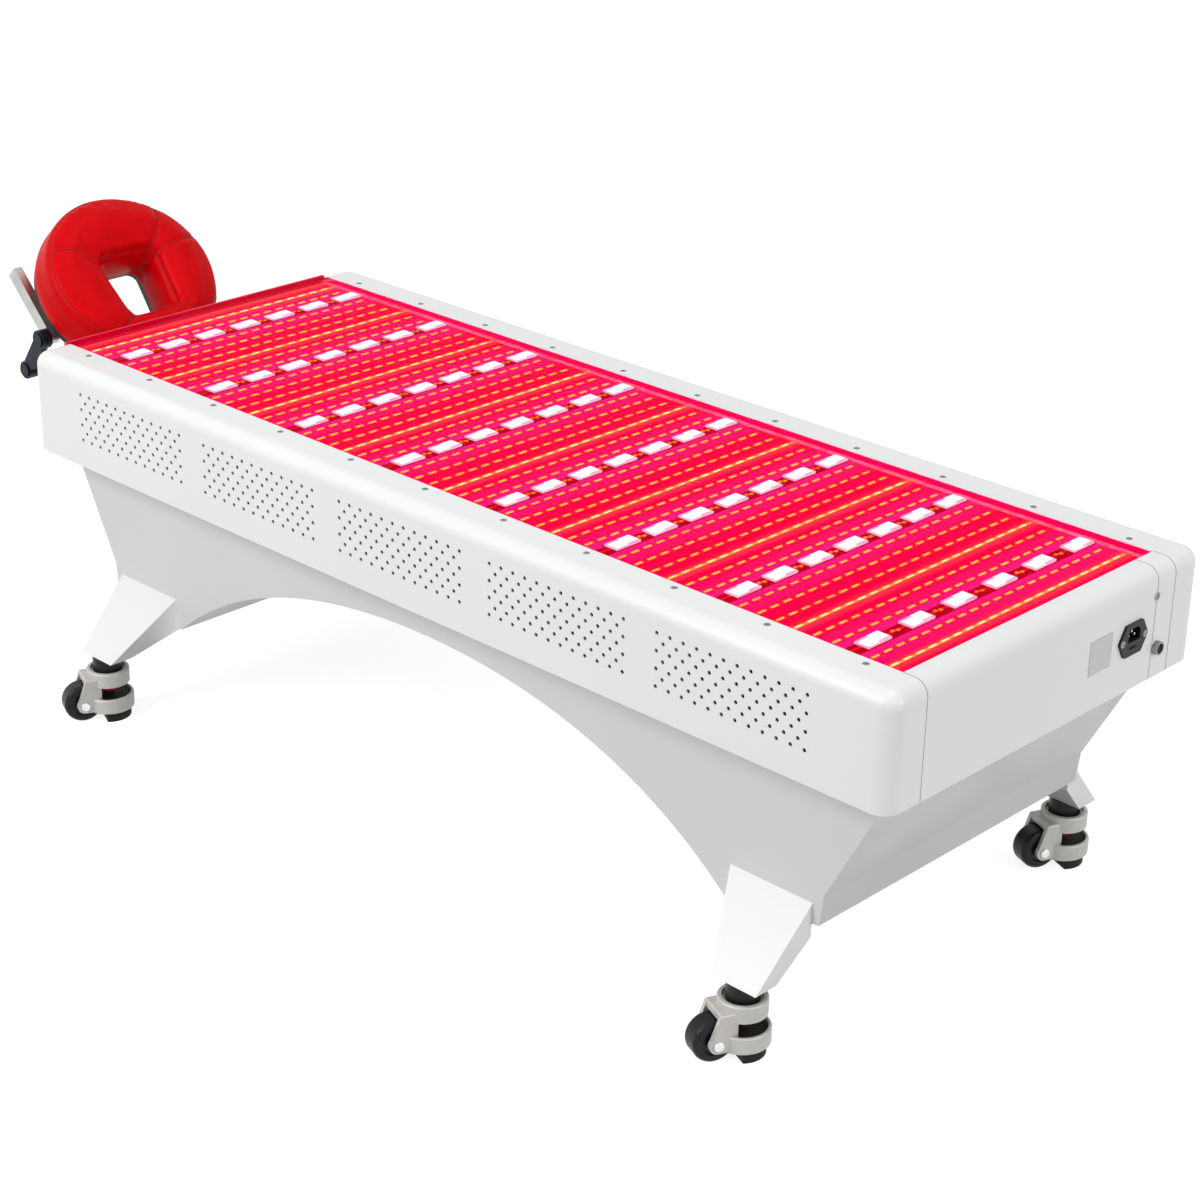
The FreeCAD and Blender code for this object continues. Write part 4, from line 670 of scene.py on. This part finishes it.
# The backing board: plywood painted black on the face, with its plies just showing at the edge,
# screwed to the arms behind the face cushion.
board_paint, tree, shader, place = finish("black_painted_plywood")
plies = shade(tree, "TexWave", {"Vector": place, "Scale": 160.0, "Distortion": 1.5}).outputs["Fac"]
ply_tone = ramp(tree, plies, (0.0, (0.007, 0.007, 0.008)), (1.0, (0.016, 0.015, 0.014)))
tree.links.new(ply_tone, shader.inputs["Base Color"])
tree.links.new(spread(tree, noise(tree, place, 80.0), 0.45, 0.60), shader.inputs["Roughness"])
bump(tree, shader, plies, 0.08, 0.0003)
paint(board_paint, "backing_board")

# The face cushion: red vinyl sewn over foam, D-shaped with an opening for the face. It is cut
# in panels, with a seam round the front edge and seams from the opening's corners to it.
cushion = bpy.data.objects.new("face_cushion_cover", nodes["face_cushion"].data.copy())
scene.collection.objects.link(cushion)
pick(cushion, lambda centre, normal: True)
bpy.ops.mesh.remove_doubles(threshold=0.00002)
done()
cushion.data.remesh_voxel_size = 0.005
bpy.ops.object.voxel_remesh()

rounding = cushion.modifiers.new("rounding", "SMOOTH")
rounding.factor = 0.5
rounding.iterations = 14
apply(cushion, "rounding")

pivot = Vector((-1.121, 0.0, 0.512))
lean = Matrix.Translation(pivot) @ Matrix.Rotation(math.radians(-45), 4, "Y")
to_cradle = lean.inverted()
board_face = min((to_cradle @ vertex.co).x for vertex in cushion.data.vertices)
inset_start, inset_rise = 0.003, 0.015
cushion_depth, widening, front_lean = 0.098, 0.03, 0.005
normals = [vertex.normal.copy() for vertex in cushion.data.vertices]
for vertex, normal in zip(cushion.data.vertices, normals):
    height = (to_cradle @ vertex.co).x - board_face
    vertex.co -= normal * inset_start * min(1.0, height / inset_rise)
    vertex.co.y += widening * vertex.co.y - front_lean * height / cushion_depth

held_depth, swell_limit, swell_frames = 0.006, 0.008, 20
held = cushion.vertex_groups.new(name="on_board")
held.add([vertex.index for vertex in cushion.data.vertices
          if (to_cradle @ vertex.co).x < board_face + held_depth], 1.0, "REPLACE")
filling = cushion.modifiers.new("filling", "CLOTH")
filling.settings.quality = 6
filling.settings.use_pressure = True
filling.settings.uniform_pressure_force = 4.0
filling.settings.effector_weights.gravity = 0.0
filling.settings.vertex_group_mass = "on_board"
for step in range(1, swell_frames + 1):
    scene.frame_set(step)
swollen = cushion.evaluated_get(bpy.context.evaluated_depsgraph_get()).data.vertices
moves = [puffed.co - vertex.co for puffed, vertex in zip(swollen, cushion.data.vertices)]
cushion.modifiers.remove(filling)
for vertex, move in zip(cushion.data.vertices, moves):
    vertex.co += move * min(1.0, swell_limit / max(move.length, 0.000001))
scene.frame_set(1)

fuller = cushion.modifiers.new("fuller", "SUBSURF")
fuller.levels = fuller.render_levels = 1
apply(cushion, "fuller")

# Each seam is given as places across and up the front, in metres from the upper pivot.
seam_lines = {
    "left_seam": ((-0.158, 0.104), (-0.130, 0.104), (-0.105, 0.094), (-0.076, 0.061)),
    "crown_seam": ((0.103, 0.158), (0.088, 0.122), (0.066, 0.088), (0.040, 0.066)),
    "right_seam": ((0.152, 0.074), (0.112, 0.068), (0.074, 0.062), (0.044, 0.058)),
    "lower_right_seam": ((0.030, -0.042), (0.050, -0.050), (0.066, -0.070), (0.076, -0.092)),
    "lower_left_seam": ((-0.040, -0.040), (-0.062, -0.052), (-0.084, -0.066), (-0.100, -0.086)),
}
cover = BVHTree.FromObject(cushion, bpy.context.evaluated_depsgraph_get())
outwards = (lean.to_3x3() @ Vector((1.0, 0.0, 0.0))).normalized()
well_ahead, well_aside = 0.3, 0.4


def stroke(points, step=0.003):
    """Points along a smooth line through the given ones."""
    made = []
    padded = [points[0], *points, points[-1]]
    for a, b, c, d in zip(padded, padded[1:], padded[2:], padded[3:]):
        count = max(2, round(math.dist(b, c) / step))
        for index in range(count):
            t = index / count
            made.append(tuple(0.5 * (2 * q + (r - p) * t + (2 * p - 5 * q + 4 * r - s) * t * t
                                     + (3 * q - p - 3 * r + s) * t ** 3) for p, q, r, s in zip(a, b, c, d)))
    return made + [tuple(points[-1])]


def on_cover(line):
    """Drops a line of the front onto the cushion."""
    laid = []
    for across, up in line:
        hit = cover.ray_cast(lean @ Vector((well_ahead, across, up)), -outwards)
        if hit[0] is not None:
            laid.append((hit[0], hit[1]))
    return laid


def round_cover(deep, middle, outside):
    """A closed line round the cushion or its opening, at one depth from the board."""
    laid = []
    for degrees in range(0, 362, 2):
        way = Vector((0.0, math.cos(math.radians(degrees)), math.sin(math.radians(degrees))))
        start = Vector((board_face + deep, 0.0, middle)) + way * (well_aside if outside else 0.0)
        hit = cover.ray_cast(lean @ start, lean.to_3x3() @ (-way if outside else way))
        if hit[0] is not None:
            laid.append((hit[0], hit[1]))
    return laid


laid_seams = {name: on_cover(stroke(points)) for name, points in seam_lines.items()}
laid_seams["edge_seam"] = round_cover(deep=0.080, middle=0.05, outside=True)
laid_seams["opening_seam"] = round_cover(deep=0.078, middle=0.014, outside=False)

seam_tree = KDTree(sum(len(line) for line in laid_seams.values()))
for number, (point, _) in enumerate(pair for line in laid_seams.values() for pair in line):
    seam_tree.insert(point, number)
seam_tree.balance()
groove_depth, groove_width = 0.0026, 0.0055
normals = [vertex.normal.copy() for vertex in cushion.data.vertices]
for vertex, normal in zip(cushion.data.vertices, normals):
    away = seam_tree.find(vertex.co)[2]
    if away < 3 * groove_width:
        vertex.co -= normal * groove_depth * math.exp(-(away / groove_width) ** 2)
smooth(cushion, 60)

vinyl, tree, shader, place = finish("red_vinyl")
grain = shade(tree, "TexVoronoi", {"Vector": place, "Scale": 620.0}).outputs["Distance"]
creases = noise(tree, place, 34.0, 5.0)
vinyl_tone = ramp(tree, creases, (0.3, (0.60, 0.0005, 0.003)), (0.7, (0.70, 0.001, 0.005)))
tree.links.new(vinyl_tone, shader.inputs["Base Color"])
tree.links.new(spread(tree, creases, 0.36, 0.46), shader.inputs["Roughness"])
shader.inputs["Specular IOR Level"].default_value = 0.06
surface = math_of(tree, "ADD", math_of(tree, "MULTIPLY", grain, 0.35), creases)
bump(tree, shader, surface, 0.16, 0.0012)
fit(cushion, "cradle_head", vinyl)
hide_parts("face_cushion")

thread, tree, shader, place = finish("dark_red_thread")
twist = noise(tree, place, 400.0, 2.0)
thread_tone = ramp(tree, twist, (0.3, (0.16, 0.001, 0.002)), (0.7, (0.30, 0.002, 0.004)))
tree.links.new(thread_tone, shader.inputs["Base Color"])
tree.links.new(spread(tree, twist, 0.5, 0.7), shader.inputs["Roughness"])
bpy.ops.object.select_all(action="DESELECT")
thread_radius, thread_sink = 0.0007, 0.85
for name, line in laid_seams.items():
    path = bpy.data.curves.new(name, "CURVE")
    path.dimensions = "3D"
    path.bevel_depth = thread_radius
    path.bevel_resolution = 2
    path.use_fill_caps = True
    run = path.splines.new("POLY")
    run.points.add(len(line) - 1)
    for spot, (point, normal) in zip(run.points, line):
        spot.co = (*(point - normal * groove_depth * thread_sink), 1.0)
    seam = bpy.data.objects.new(name, path)
    scene.collection.objects.link(seam)
    seam.select_set(True)
    bpy.context.view_layer.objects.active = seam
bpy.ops.object.convert(target="MESH")
bpy.ops.object.join()
seams = bpy.context.object
seams.name = "cushion_seams"
smooth(seams, 60)
fit(seams, "cradle_head", thread)
